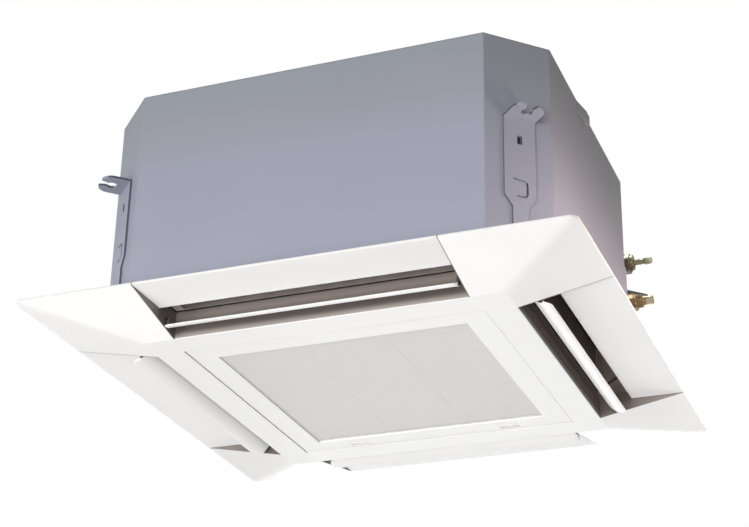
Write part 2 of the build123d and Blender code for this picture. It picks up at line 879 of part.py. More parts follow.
with BuildPart() as pipe_cover:
    with BuildSketch(cover_front):
        with Locations((cover_middle, cover_middle_level)):
            Rectangle(cover_width, cover_height)
        with Locations((pipe_offset, ceiling + gas_level)):
            Circle(gas_radius + pipe_hole_clearance, mode=Mode.SUBTRACT)
        with Locations((pipe_offset, ceiling + liquid_level)):
            Circle(liquid_radius + pipe_hole_clearance, mode=Mode.SUBTRACT)
        with Locations((pipe_offset, ceiling + grommet_level)):
            Circle(cable_hole_radius + grommet_wall / 2, mode=Mode.SUBTRACT)
    extrude(amount=cover_thickness)
    # flanges back to the upper face, above the ledge
    with BuildSketch(corner_plane(pipe_corner, upper_distance)):
        with Locations((cover_middle, band_top + flange_height / 2)):
            Rectangle(cover_width, flange_height)
        with Locations((cover_middle, band_top + flange_height / 2 - cover_thickness / 2)):
            Rectangle(cover_width - 2 * cover_thickness, flange_height - cover_thickness, mode=Mode.SUBTRACT)
    extrude(amount=cover_depth)
finish(pipe_cover, "pipe_cover")

with BuildPart() as rubber_grommets:
    # a thin ring round each pipe, in front of the cover
    for level, radius in ((gas_level, gas_radius), (liquid_level, liquid_radius)):
        with BuildSketch(cover_front.offset(cover_thickness)):
            with Locations((pipe_offset, ceiling + level)):
                Circle(radius + 2 * pipe_hole_clearance)
                Circle(radius, mode=Mode.SUBTRACT)
        extrude(amount=pipe_hole_clearance)
    # the cable's grommet, with a lip in front of the cover
    with BuildSketch(cover_front.offset(cover_thickness)):
        with Locations((pipe_offset, ceiling + grommet_level)):
            Circle(grommet_outer)
    extrude(amount=(grommet_length - cover_thickness) / 2)
    grommet_back = cover_front.offset(cover_thickness - (grommet_length + cover_thickness) / 2)
    with BuildSketch(grommet_back):
        with Locations((pipe_offset, ceiling + grommet_level)):
            Circle(cable_hole_radius + grommet_wall / 2)
    extrude(amount=grommet_length)
    with BuildSketch(grommet_back):
        with Locations((pipe_offset, ceiling + grommet_level)):
            Circle(cable_hole_radius)
    extrude(amount=grommet_length, mode=Mode.SUBTRACT)
finish(rubber_grommets, "rubber_grommets")

# ---------------------------------------------------------------- drain pump, hose and float

with BuildPart() as drain_socket:
    # neck through the casing, flange on it, then the pipe that the hose goes on
    for radius, start, end in (
        (drain_neck_radius, -drain_inset, 0),
        (drain_flange_radius, 0, drain_flange),
        (drain_radius, drain_flange, drain_reach),
    ):
        with BuildSketch(pipe_plane(start)):
            with Locations((drain_offset, ceiling + drain_level)):
                Circle(radius)
        extrude(amount=end - start)
    with BuildSketch(pipe_plane(-drain_inset)):
        with Locations((drain_offset, ceiling + drain_level)):
            Circle(drain_bore)
    extrude(amount=drain_inset + drain_reach, mode=Mode.SUBTRACT)
finish(drain_socket, "drain_socket")

pump_bottom = trough_floor
pump_body_bottom = pump_bottom + pump_foot_height
spigot_bottom = pump_body_bottom + pump_height - spigot_height
spigot_top = pump_body_bottom + pump_height
float_arm = ceiling + float_arm_height
float_collar_bottom = trough_floor + float_floor_gap
float_bottom = float_collar_bottom + float_collar
chamber_bottom = pump_bottom + pump_foot_height / 3

with BuildPart() as drain_pump:
    for radius, bottom, height in (
        (pump_foot_radius, pump_bottom, pump_foot_height),
        (pump_radius, pump_body_bottom, pump_height),
        (pump_motor_radius, pump_body_bottom + pump_height, pump_motor_height),
    ):
        with BuildSketch(Plane.XY.offset(bottom)):
            with Locations(pump_place):
                Circle(radius)
        extrude(amount=height)
    # arm and upright spigot for the hose
    arm_plane = Plane(origin=(*pump_place, 0), x_dir=(*sideways, 0), z_dir=(0, 0, 1))
    with BuildSketch(arm_plane.offset(spigot_bottom)):
        with Locations((drain_offset / 2, 0)):
            Rectangle(drain_offset, arm_width)
    extrude(amount=spigot_height / 2)
    with BuildSketch(arm_plane.offset(spigot_bottom)):
        with Locations((drain_offset, 0)):
            Circle(spigot_radius)
    extrude(amount=spigot_height)
    # arm and stem that guide the float
    with BuildSketch(arm_plane.offset(float_arm)):
        with Locations((-float_offset / 2, 0)):
            Rectangle(float_offset, arm_width)
        with Locations((-float_offset, 0)):
            Circle(float_collar_radius)
    extrude(amount=arm_width / 2)
    with BuildSketch(arm_plane.offset(float_collar_bottom)):
        with Locations((-float_offset, 0)):
            Circle(float_stem_radius)
    extrude(amount=float_arm - float_collar_bottom)
    with BuildSketch(arm_plane.offset(float_collar_bottom)):
        with Locations((-float_offset, 0)):
            Circle(float_collar_radius)
    extrude(amount=float_collar)
    # water chamber, open below, and the impeller shaft's bore above it
    with BuildSketch(Plane.XY.offset(chamber_bottom)):
        with Locations(pump_place):
            Circle(pump_chamber_radius)
    extrude(amount=pump_chamber_height, mode=Mode.SUBTRACT)
    with BuildSketch(Plane.XY.offset(pump_bottom)):
        with Locations(pump_place):
            Circle(pump_chamber_radius / 2)
    extrude(amount=chamber_bottom - pump_bottom, mode=Mode.SUBTRACT)
    with BuildSketch(Plane.XY.offset(chamber_bottom)):
        with Locations(pump_place):
            Circle(impeller_shaft_radius + running_clearance)
    extrude(amount=pump_chamber_height + impeller_shaft_length + 1, mode=Mode.SUBTRACT)
finish(drain_pump, "drain_pump")

impeller_bottom = chamber_bottom + (pump_chamber_height - impeller_height) / 2

with BuildPart() as pump_impeller:
    with BuildSketch(Plane.XY.offset(impeller_bottom)):
        with Locations(pump_place):
            Circle(impeller_radius / 3)
            with PolarLocations(impeller_radius / 2, 4):
                Rectangle(impeller_radius, impeller_shaft_radius)
    extrude(amount=impeller_height)
    with BuildSketch(Plane.XY.offset(impeller_bottom + impeller_height)):
        with Locations(pump_place):
            Circle(impeller_shaft_radius)
    extrude(amount=impeller_shaft_length)
finish(pump_impeller, "pump_impeller")

with BuildPart() as float_ring:
    with BuildSketch(Plane.XY.offset(float_bottom)):
        with Locations(float_place):
            Circle(float_radius)
            Circle(float_stem_radius + running_clearance, mode=Mode.SUBTRACT)
    extrude(amount=float_height)
finish(float_ring, "float_ring")

with BuildPart() as drain_hose:
    hose_end = pipe_point(drain_offset, hose_overlap - drain_inset)
    with BuildLine() as hose_path:
        FilletPolyline(
            (*spigot_place, spigot_top),
            (*spigot_place, ceiling + drain_level),
            (*hose_end, ceiling + drain_level),
            radius=hose_bend,
        )
    with BuildSketch(Plane.XY.offset(spigot_top)):
        with Locations(spigot_place):
            Circle(hose_radius)
            Circle(hose_bore, mode=Mode.SUBTRACT)
    sweep()
finish(drain_hose, "drain_hose")

# ---------------------------------------------------------------- bell mouth, fan and fan motor

bell_curve_radius = throat_radius + bell_flare
bell_curve_height = bell_bottom + bell_flare

with BuildPart() as bell_mouth:
    with BuildSketch(Plane.XY.offset(bell_bottom)):
        inlet_profile()
        Circle(bell_curve_radius, mode=Mode.SUBTRACT)
    extrude(amount=bell_plate)
    with BuildSketch(Plane.XZ):
        with BuildLine():
            CenterArc((bell_curve_radius, bell_curve_height), bell_flare, 180, 90)
            Line((bell_curve_radius, bell_bottom), (bell_curve_radius, bell_bottom + bell_plate))
            CenterArc((bell_curve_radius, bell_curve_height), bell_flare - bell_plate, 180, 90)
            Polyline(
                (throat_radius + bell_plate, bell_curve_height),
                (throat_radius + bell_plate, bell_curve_height + bell_lip),
                (throat_radius, bell_curve_height + bell_lip),
                (throat_radius, bell_curve_height),
            )
        make_face()
    revolve(axis=Axis.Z)
finish(bell_mouth, "bell_mouth")

shroud_inner = throat_radius + bell_plate + shroud_gap
shroud_bottom = ceiling + shroud_bottom_height
fan_plate_bottom = ceiling + fan_plate_height
bucket_floor = ceiling + fan_bucket_floor
boss_bottom = ceiling + fan_boss_height
shroud_cone_rise = shroud_rise - shroud_lip

with BuildPart() as fan_shroud:
    with BuildSketch(Plane.XZ):
        with BuildLine():
            Polyline(
                (shroud_inner, shroud_bottom),
                (shroud_inner + shroud_wall, shroud_bottom),
                (shroud_inner + shroud_wall, shroud_bottom + shroud_lip),
                (fan_radius, shroud_bottom + shroud_rise),
                (fan_radius, shroud_bottom + shroud_rise + 1.2 * shroud_wall),
                (shroud_inner, shroud_bottom + shroud_lip + shroud_wall),
                close=True,
            )
        make_face()
    revolve(axis=Axis.Z)
finish(fan_shroud, "fan_shroud")

with BuildPart() as fan_hub:
    with BuildSketch(Plane.XZ):
        with BuildLine():
            Polyline(
                (shaft_radius, boss_bottom),
                (fan_boss_radius, boss_bottom),
                (fan_boss_radius, bucket_floor - fan_plate),
                (fan_bucket_base, bucket_floor),
                (fan_bucket_base + 6, bucket_floor + 7),
                (fan_bucket_radius, fan_plate_bottom),
                (fan_radius, fan_plate_bottom),
                (fan_radius, fan_plate_bottom + fan_plate),
                (fan_bucket_radius - fan_plate, fan_plate_bottom + fan_plate),
                (fan_bucket_base + 6 - fan_plate, bucket_floor + 7 + fan_plate / 2),
                (fan_bucket_base - fan_plate / 2, bucket_floor + fan_plate),
                (shaft_radius, bucket_floor),
                close=True,
            )
        make_face()
    revolve(axis=Axis.Z)
finish(fan_hub, "fan_hub")

with BuildPart() as fan_blades:
    # each blade's plan is an arc from the inner to the outer radius, swept back
    blade_outer_radius = fan_radius - blade_thickness
    blade_end = (
        blade_outer_radius * cos(radians(blade_sweep)),
        blade_outer_radius * sin(radians(blade_sweep)),
    )
    blade_middle_radius = (blade_inner_radius + blade_outer_radius) / 2
    blade_middle = (
        blade_middle_radius * cos(radians(blade_sweep * 0.36)),
        blade_middle_radius * sin(radians(blade_sweep * 0.36)),
    )
    with BuildLine(mode=Mode.PRIVATE):
        blade_curve = ThreePointArc((blade_inner_radius, 0), blade_middle, blade_end, mode=Mode.PRIVATE)
    with BuildSketch(Plane.XY.offset(shroud_bottom)):
        with PolarLocations(0, blade_count):
            SlotArc(blade_curve, blade_thickness)
    extrude(amount=fan_plate_bottom - shroud_bottom)
    # their lower edges follow the shroud
    cone_start = shroud_bottom + shroud_lip + shroud_wall
    cone_end = shroud_bottom + shroud_rise + 1.2 * shroud_wall
    with BuildSketch(Plane.XZ):
        with BuildLine():
            Polyline(
                (blade_inner_radius / 2, shroud_bottom - 1),
                (blade_inner_radius / 2, cone_start + shroud_wall),
                (shroud_inner, cone_start),
                (fan_radius, cone_end),
                (fan_radius + 1, cone_end),
                (fan_radius + 1, shroud_bottom - 1),
                close=True,
            )
        make_face()
    revolve(axis=Axis.Z, mode=Mode.SUBTRACT)
finish(fan_blades, "fan_blades")

motor_bottom = ceiling + motor_bottom_height
motor_flange_bottom = ceiling + motor_flange_height
motor_flange_top = motor_flange_bottom + motor_flange
mount_bottom = motor_flange_top + motor_bush_height
shaft_top = motor_flange_bottom - 2.0

with BuildPart() as motor_housing:
    with BuildSketch(Plane.XY.offset(motor_bottom)):
        Circle(motor_radius)
    extrude(amount=motor_flange_top - motor_bottom)
    fillet(edges().group_by(Axis.Z)[0], 6.0)
    with BuildSketch(Plane.XY.offset(motor_flange_bottom)):
        Circle(motor_flange_radius)
    extrude(amount=motor_flange)
    with BuildSketch(Plane.XY.offset(motor_bottom - motor_nose)):
        Circle(motor_nose_radius)
    extrude(amount=motor_nose)
    with BuildSketch(Plane.XY.offset(motor_bottom - motor_nose)):
        Circle(shaft_radius + running_clearance)
    extrude(amount=shaft_top + 1.0 - motor_bottom + motor_nose, mode=Mode.SUBTRACT)
finish(motor_housing, "motor_housing")

with BuildPart() as motor_shaft:
    with BuildSketch(Plane.XY.offset(ceiling + shaft_bottom_height)):
        Circle(shaft_radius)
    extrude(amount=shaft_top - ceiling - shaft_bottom_height)
finish(motor_shaft, "motor_shaft")

with BuildPart() as fan_nut:
    with BuildSketch(Plane.XY.offset(boss_bottom - nut_height)):
        RegularPolygon(nut_across / 2, 6, major_radius=False)
        Circle(shaft_radius, mode=Mode.SUBTRACT)
    extrude(amount=nut_height)
finish(fan_nut, "fan_nut")

with BuildPart() as motor_bushes:
    with BuildSketch(Plane.XY.offset(motor_flange_top)):
        with PolarLocations(bush_ring_radius, 4, start_angle=45):
            Circle(motor_bush_radius)
            Circle(motor_screw_radius, mode=Mode.SUBTRACT)
    extrude(amount=motor_bush_height)
finish(motor_bushes, "motor_bushes")

with BuildPart() as motor_mount:
    with BuildSketch(Plane.XY.offset(mount_bottom)):
        Circle(mount_radius)
    extrude(amount=lid_bottom - mount_bottom)
    with BuildSketch(Plane.XY.offset(mount_bottom + mount_wall)):
        Circle(mount_radius - mount_wall)
    extrude(amount=lid_bottom - mount_bottom - mount_wall, mode=Mode.SUBTRACT)
    with BuildSketch(Plane.XY.offset(mount_bottom)):
        with PolarLocations(bush_ring_radius, 4, start_angle=45):
            Circle(motor_screw_radius + screw_clearance)
    extrude(amount=mount_wall, mode=Mode.SUBTRACT)
finish(motor_mount, "motor_mount")

with BuildPart() as motor_screws:
    with BuildSketch(Plane.XY.offset(motor_flange_top)):
        with PolarLocations(bush_ring_radius, 4, start_angle=45):
            Circle(motor_screw_radius)
    extrude(amount=casing_top - motor_flange_top)
    with BuildSketch(Plane.XY.offset(casing_top)):
        with PolarLocations(bush_ring_radius, 4, start_angle=45):
            RegularPolygon(motor_screw_head, 6)
    extrude(amount=motor_screw_head_height)
finish(motor_screws, "motor_screws")

# ---------------------------------------------------------------- control box

box_bottom = casing_bottom
board_level = box_bottom + board_lift
lift_places = [
    (sx * (box_width / 2 - board_margin - 2 * stand_off_radius), sy * (box_depth / 2 - 2 * board_margin))
    for sx in (-1, 1)
    for sy in (-1, 1)
]
box_centre = (0, (box_near_edge + box_far_edge) / 2)

with BuildPart() as control_box:
    box_between((-box_width / 2, box_near_edge, box_bottom), (box_width / 2, box_far_edge, bell_bottom))
    box_between(
        (-box_width / 2 + box_wall, box_near_edge + box_wall, box_bottom),
        (box_width / 2 - box_wall, box_far_edge - box_wall, bell_bottom - box_wall),
        mode=Mode.SUBTRACT,
    )
    # pillars that carry the board
    with BuildSketch(Plane.XY.offset(board_level + board_thickness)):
        with Locations(box_centre):
            with Locations(*lift_places):
                Circle(stand_off_radius)
    extrude(amount=bell_bottom - box_wall - board_level - board_thickness)
finish(control_box, "control_box")

with BuildPart() as control_box_lid:
    box_between(
        (-box_width / 2, box_near_edge, box_bottom - box_lid),
        (box_width / 2, box_far_edge, box_bottom),
    )
finish(control_box_lid, "control_box_lid")

with BuildPart() as control_board:
    inner_x = box_width / 2 - box_wall - board_margin / 2
    box_between(
        (-inner_x, box_near_edge + box_wall + board_margin / 2, board_level),
        (inner_x, box_far_edge - box_wall - board_margin / 2, board_level + board_thickness),
    )
    # capacitor, relay and transformer on the board's upper side
    with BuildSketch(Plane.XY.offset(board_level + board_thickness)):
        with Locations((-capacitor_side, box_centre[1])):
            Rectangle(capacitor_length, capacitor_width)
        with Locations((-relay_side, box_centre[1])):
            Circle(relay_radius)
    extrude(amount=board_part_height)
    # terminal block
    terminal_x = box_width / 2 - box_wall - board_margin - terminal_width / 2 - terminal_inset
    terminal_bottom = board_level + board_thickness
    terminal_top = terminal_bottom + terminal_height
    box_between(
        (terminal_x - terminal_width / 2, box_centre[1] - terminal_depth / 2, terminal_bottom),
        (terminal_x + terminal_width / 2, box_centre[1] + terminal_depth / 2, terminal_top),
    )
    with BuildSketch(Plane.XY.offset(terminal_top)):
        with Locations((terminal_x, box_centre[1])):
            with GridLocations(terminal_width / terminal_poles, 0, terminal_poles, 1):
                Circle(terminal_well_radius)
    extrude(amount=-terminal_well_depth, mode=Mode.SUBTRACT)
finish(control_board, "control_board")

# ---------------------------------------------------------------- decoration panel

face_half = outlet_inner_offset
cavity_half = panel_size / 2 - rim_edge_width
cavity_turn = rim_bottom - slope * rim_edge_width + panel_wall
block_half = half_outlet + panel_wall

with BuildPart() as panel_cavity:
    # the space inside the shell, but for the solid blocks that the outlets are cut from
    with BuildSketch(Plane.XY.offset(face + panel_wall)):
        RectangleRounded(2 * face_half, 2 * face_half, face_corner_radius)
    with BuildSketch(Plane.XY.offset(cavity_turn)):
        RectangleRounded(2 * cavity_half, 2 * cavity_half, panel_corner_radius)
    loft()
    with BuildSketch(Plane.XY.offset(cavity_turn)):
        RectangleRounded(2 * cavity_half, 2 * cavity_half, panel_corner_radius)
    extrude(amount=ceiling - cavity_turn)
    for angle in side_angles.values():
        side_box(
            angle,
            face_half - panel_wall,
            panel_size / 2,
            block_half,
            face,
            ceiling,
            mode=Mode.SUBTRACT,
        )

half_opening = grille_opening / 2
hinge_y = -(half_opening - grille_gap - grille_skin)
hinge_level = face + grille_sink + grille_skin + 0.5

with BuildPart() as panel_frame:
    with BuildSketch(Plane.XY.offset(rim_bottom)):
        RectangleRounded(panel_size, panel_size, panel_corner_radius)
    extrude(amount=rim_thickness)
    with BuildSketch(Plane.XY.offset(rim_bottom)):
        RectangleRounded(panel_size, panel_size, panel_corner_radius)
    with BuildSketch(Plane.XY.offset(face)):
        RectangleRounded(2 * face_half, 2 * face_half, face_corner_radius)
    loft()
    add(panel_cavity.part, mode=Mode.SUBTRACT)
    for angle in side_angles.values():
        side_box(
            angle,
            face_half - panel_wall,
            outlet_outer_offset + panel_wall,
            block_half,
            ceiling - rim_thickness,
            duct_top,
        )
        side_box(angle, face_half, outlet_outer_offset, half_outlet, face, duct_top, mode=Mode.SUBTRACT)
        side_box(angle, face_half, panel_size / 2, half_outlet, face, rim_bottom, mode=Mode.SUBTRACT)
    # webs that close the outlets' tops where the casing's cut corner leaves them bare
    with BuildSketch(Plane.XY.offset(duct_top - panel_wall)):
        outlet_plan()
        duct_limit(Mode.SUBTRACT)
    extrude(amount=panel_wall)
    # wall and ledge round the suction opening
    with BuildSketch(Plane.XY.offset(face)):
        Rectangle(grille_opening + 2 * panel_wall, grille_opening + 2 * panel_wall)
    extrude(amount=ceiling + ledge_height + ledge_thickness - face)
    with BuildSketch(Plane.XY.offset(face)):
        Rectangle(grille_opening, grille_opening)
    extrude(amount=ceiling + ledge_height - face, mode=Mode.SUBTRACT)
    with BuildSketch(Plane.XY.offset(ceiling + ledge_height)):
        Rectangle(grille_opening - 2 * ledge_width, grille_opening - 2 * ledge_width)
    extrude(amount=ledge_thickness, mode=Mode.SUBTRACT)
    with BuildSketch(Plane.XY.offset(ceiling + ledge_height)):
        with GridLocations(2 * panel_screw_offset, 2 * panel_screw_offset, 2, 2):
            Circle(panel_screw_radius + screw_clearance)
    extrude(amount=ledge_thickness, mode=Mode.SUBTRACT)
    # holes for the flaps' bushes, through both end walls of each outlet
    for angle in side_angles.values():
        with BuildSketch(side_plane(angle)):
            with Locations((flap_axis_offset, ceiling - flap_axis_drop)):
                Circle(flap_pin_radius + bush_wall)
        extrude(amount=block_half, both=True, mode=Mode.SUBTRACT)
    # slots that the latch tongues slide into
    with BuildSketch(Plane.XY.offset(face + grille_sink + grille_skin + latch_knob - latch_gap)):
        with GridLocations(latch_spacing, 0, 2, 1):
            with Locations((0, half_opening + panel_wall / 2)):
                Rectangle(latch_width + 4 * latch_gap, panel_wall + 2)
    extrude(amount=latch_tongue + 2 * latch_gap, mode=Mode.SUBTRACT)
finish(panel_frame, "panel_frame")

with BuildPart() as panel_screws:
    with BuildSketch(Plane.XY.offset(ceiling + ledge_height)):
        with GridLocations(2 * panel_screw_offset, 2 * panel_screw_offset, 2, 2):
            Circle(panel_screw_radius)
    extrude(amount=panel_screw_length)
    with BuildSketch(Plane.XY.offset(ceiling + ledge_height)):
        with GridLocations(2 * panel_screw_offset, 2 * panel_screw_offset, 2, 2):
            Circle(panel_screw_head)
    extrude(amount=-panel_screw_head_height, taper=10)
finish(panel_screws, "panel_screws")

# ---------------------------------------------------------------- flaps and their drive

flap_axis_level = ceiling - flap_axis_drop
flap_end = half_outlet - flap_end_gap
wall_outer = half_outlet + panel_wall
pin_end = wall_outer + bush_flange + socket_length
socket_start = wall_outer + 2 * bush_flange + running_clearance
ball_centre = socket_start + socket_length
pin_tip = ball_centre - ball_radius - 2 * ball_clearance
tilt = radians(flap_tilt)
flap_middle = (flap_axis_offset + flap_lead, flap_axis_level - flap_fall)


def flap_point(along, below):
    """A point of the flap's section: along its chord from the middle, outwards positive, and below it."""
    return (
        flap_middle[0] + along * cos(tilt) - below * sin(tilt),
        flap_middle[1] - along * sin(tilt) - below * cos(tilt),
    )


for name, angle in side_angles.items():
    with BuildPart() as flap:
        half_chord = flap_chord / 2 - flap_thickness / 2
        with BuildLine(mode=Mode.PRIVATE):
            section_curve = ThreePointArc(
                flap_point(-half_chord, 0),
                flap_point(0, flap_camber),
                flap_point(half_chord, 0),
                mode=Mode.PRIVATE,
            )
        with BuildSketch(side_plane(angle)):
            SlotArc(section_curve, flap_thickness)
        extrude(amount=flap_end, both=True)
        # ears that reach up to the axis, at both ends
        for side in (-1, 1):
            ear_plane = side_plane(angle).offset(side * flap_end)
            with BuildSketch(ear_plane):
                with BuildLine():
                    Polyline(
                        flap_point(-half_chord * 0.7, flap_camber * 0.5),
                        flap_point(half_chord * 0.6, flap_camber * 0.5),
                        (flap_axis_offset + ear_radius * sin(tilt), flap_axis_level + ear_radius * 0.4),
                        (flap_axis_offset - ear_radius * cos(tilt), flap_axis_level - ear_radius * 0.2),
                        close=True,
                    )
                make_face()
                with Locations((flap_axis_offset, flap_axis_level)):
                    Circle(ear_radius)
            extrude(amount=-side * ear_thickness)
            with BuildSketch(ear_plane):
                with Locations((flap_axis_offset, flap_axis_level)):
                    Circle(flap_pin_radius)
            extrude(amount=side * (pin_tip - flap_end))
    finish(flap, f"flap_{name}")

with BuildPart() as flap_bushes:
    for angle in side_angles.values():
        for side in (-1, 1):
            bush_plane = side_plane(angle).offset(side * (half_outlet - bush_flange))
            with BuildSketch(bush_plane):
                with Locations((flap_axis_offset, flap_axis_level)):
                    Circle(flap_pin_radius + bush_wall)
                    Circle(flap_pin_radius + running_clearance, mode=Mode.SUBTRACT)
            extrude(amount=side * (panel_wall + 2 * bush_flange))
            with BuildSketch(side_plane(angle).offset(side * wall_outer)):
                with Locations((flap_axis_offset, flap_axis_level)):
                    Circle(flap_pin_radius + 1.5 * bush_wall)
                    Circle(flap_pin_radius + running_clearance, mode=Mode.SUBTRACT)
            extrude(amount=side * bush_flange)
finish(flap_bushes, "flap_bushes")


def socket_on(angle, side):
    """A round coupling on a flap's pin, with a ball socket at its outer end."""
    start = side_plane(angle).offset(side * socket_start)
    with BuildSketch(start) as outside:
        with Locations((flap_axis_offset, flap_axis_level)):
            Circle(socket_radius)
    extrude(outside.sketch, amount=side * socket_length)
    with BuildSketch(start) as bore:
        with Locations((flap_axis_offset, flap_axis_level)):
            Circle(flap_pin_radius)
    extrude(bore.sketch, amount=side * (pin_tip - socket_start), mode=Mode.SUBTRACT)
    place = side_plane(angle).from_local_coords((flap_axis_offset, flap_axis_level, side * ball_centre))
    with Locations(place):
        Sphere(ball_radius + ball_clearance, mode=Mode.SUBTRACT)


# side_plane's z runs clockwise seen from above, so +1 is the left end seen from the middle
clockwise, anticlockwise = 1, -1
socket_ends = {
    "front": (anticlockwise,),
    "right": (clockwise, anticlockwise),
    "back": (clockwise, anticlockwise),
    "left": (clockwise,),
}
motor_face = wall_outer + 2 * bush_flange + socket_length
motor_stub_end = motor_face + swing_shaft_length

for name, ends in socket_ends.items():
    with BuildPart() as sockets:
        for side in ends:
            socket_on(side_angles[name], side)
        if name == "front":
            # the swing motor's coupling, with a stub into the motor
            drive_plane = side_plane(side_angles["front"]).offset(clockwise * socket_start)
            with BuildSketch(drive_plane):
                with Locations((flap_axis_offset, flap_axis_level)):
                    Circle(socket_radius - bush_wall / 2)
            extrude(amount=clockwise * (motor_face - socket_start - ball_clearance))
            with BuildSketch(drive_plane):
                with Locations((flap_axis_offset, flap_axis_level)):
                    Circle(swing_shaft_radius)
            extrude(amount=clockwise * (motor_stub_end - socket_start))
            with BuildSketch(drive_plane):
                with Locations((flap_axis_offset, flap_axis_level)):
                    Circle(flap_pin_radius)
            extrude(amount=clockwise * (pin_tip - socket_start), mode=Mode.SUBTRACT)
    finish(sockets, f"flap_coupling_{name}")

with BuildPart() as swing_motor:
    motor_plane = side_plane(side_angles["front"]).offset(clockwise * motor_face)
    motor_offset = flap_axis_offset - swing_motor_inward
    motor_level = flap_axis_level + swing_motor_up
    with BuildSketch(motor_plane):
        with Locations((motor_offset, motor_level)):
            Circle(swing_motor_radius)
    extrude(amount=clockwise * swing_motor_length)
    with BuildSketch(motor_plane):
        with Locations((flap_axis_offset, flap_axis_level)):
            Circle(swing_shaft_radius + running_clearance)
    extrude(amount=clockwise * (swing_shaft_length + 1), mode=Mode.SUBTRACT)
    # the bracket that hangs it on the outlet's end wall
    bracket_plane = side_plane(side_angles["front"]).offset(clockwise * wall_outer)
    with BuildSketch(bracket_plane):
        with Locations((motor_offset, motor_level + swing_arm_lift)):
            Rectangle(swing_arm_width, swing_arm_thickness)
    extrude(amount=clockwise * (motor_face + swing_motor_length - wall_outer))
finish(swing_motor, "swing_motor")

link_corners = {"front_right": -45.0, "back_right": 45.0, "back_left": 135.0}

for name, angle in link_corners.items():
    with BuildPart() as link_shaft:
        link_distance = (flap_axis_offset + ball_centre) / root2
        half_link = (flap_axis_offset - ball_centre) / root2
        plane = corner_plane(angle, link_distance)
        rod_plane = Plane(origin=plane.origin, x_dir=plane.z_dir, z_dir=plane.x_dir)
        with BuildSketch(rod_plane.offset(-half_link)):
            with Locations(rod_plane.to_local_coords(plane.origin + Vector(0, 0, flap_axis_level))):
                Circle(link_radius)
        extrude(amount=2 * half_link)
        for side in (-1, 1):
            ball_place = plane.origin + plane.x_dir * (side * half_link) + Vector(0, 0, flap_axis_level)
            with Locations(ball_place):
                Sphere(ball_radius)
    finish(link_shaft, f"link_shaft_{name}")

# ---------------------------------------------------------------- suction grille, filter and latches

grille_half = half_opening - grille_gap
grille_face = face + grille_sink
half_louvre = louvre_size / 2
louvre_face = grille_face + louvre_sink
slat_top = louvre_face + slat_height
grille_rim_top = grille_face + grille_skin + grille_rim_rise
latch_centre = (grille_half + half_louvre) / 2
latch_top = grille_face + grille_skin + latch_knob

with BuildPart() as grille_frame:
    with BuildSketch(Plane.XY.offset(grille_face)):
        Rectangle(2 * grille_half, 2 * grille_half)
        Rectangle(louvre_size, louvre_size, mode=Mode.SUBTRACT)
    extrude(amount=grille_skin)
    with BuildSketch(Plane.XY.offset(grille_face)):
        Rectangle(louvre_size + 2 * grille_skin, louvre_size + 2 * grille_skin)
        Rectangle(louvre_size, louvre_size, mode=Mode.SUBTRACT)
    extrude(amount=slat_top - grille_face)
    with BuildSketch(Plane.XY.offset(grille_face)):
        Rectangle(2 * grille_half, 2 * grille_half)
        Rectangle(2 * (grille_half - grille_skin), 2 * (grille_half - grille_skin), mode=Mode.SUBTRACT)
    extrude(amount=grille_skin + latch_knob - 2 * latch_gap)
    # the bar that the hinge pins turn in
    box_between(
        (-grille_half, -grille_half, grille_face),
        (grille_half, -grille_half + hinge_bar, grille_face + hinge_bar),
    )
    near_edge = edges().filter_by(Axis.X).group_by(Axis.Y)[0].group_by(Axis.Z)[0]
    fillet(near_edge, grille_skin)
    near_top_edge = edges().filter_by(Axis.X).group_by(Axis.Y)[0].group_by(Axis.Z)[-1]
    fillet(near_top_edge, grille_skin - 0.2)
    for side in (-1, 1):
        hinge_x = side * hinge_spacing / 2
        # room above a thin skin for the fixed arm
        box_between(
            (hinge_x - hinge_notch / 2, -grille_half, hinge_level - hinge_pin_radius - 2 * latch_gap),
            (hinge_x + hinge_notch / 2, -grille_half + hinge_bar + 1, grille_rim_top),
            mode=Mode.SUBTRACT,
        )
        pin_plane = Plane(origin=(hinge_x, hinge_y, hinge_level), x_dir=(0, 1, 0), z_dir=(1, 0, 0))
        with BuildSketch(pin_plane):
            Circle(hinge_pin_radius + running_clearance)
        bore_reach = hinge_notch / 2 + hinge_grip + latch_gap
        extrude(amount=bore_reach, both=True, mode=Mode.SUBTRACT)
    # guides and windows for the two latches
    with BuildSketch(Plane.XY.offset(grille_face)):
        with GridLocations(latch_spacing, 0, 2, 1):
            with Locations((0, latch_centre + latch_travel / 2)):
                Rectangle(latch_width, latch_length + latch_travel + 2 * latch_gap)
    extrude(amount=grille_skin, mode=Mode.SUBTRACT)
    with BuildSketch(Plane.XY.offset(latch_top - latch_gap)):
        with GridLocations(latch_spacing, 0, 2, 1):
            with Locations((0, grille_half)):
                Rectangle(latch_width + 4 * latch_gap, 4 * grille_skin)
    extrude(amount=latch_tongue + 2 * latch_gap, mode=Mode.SUBTRACT)
finish(grille_frame, "grille_frame")

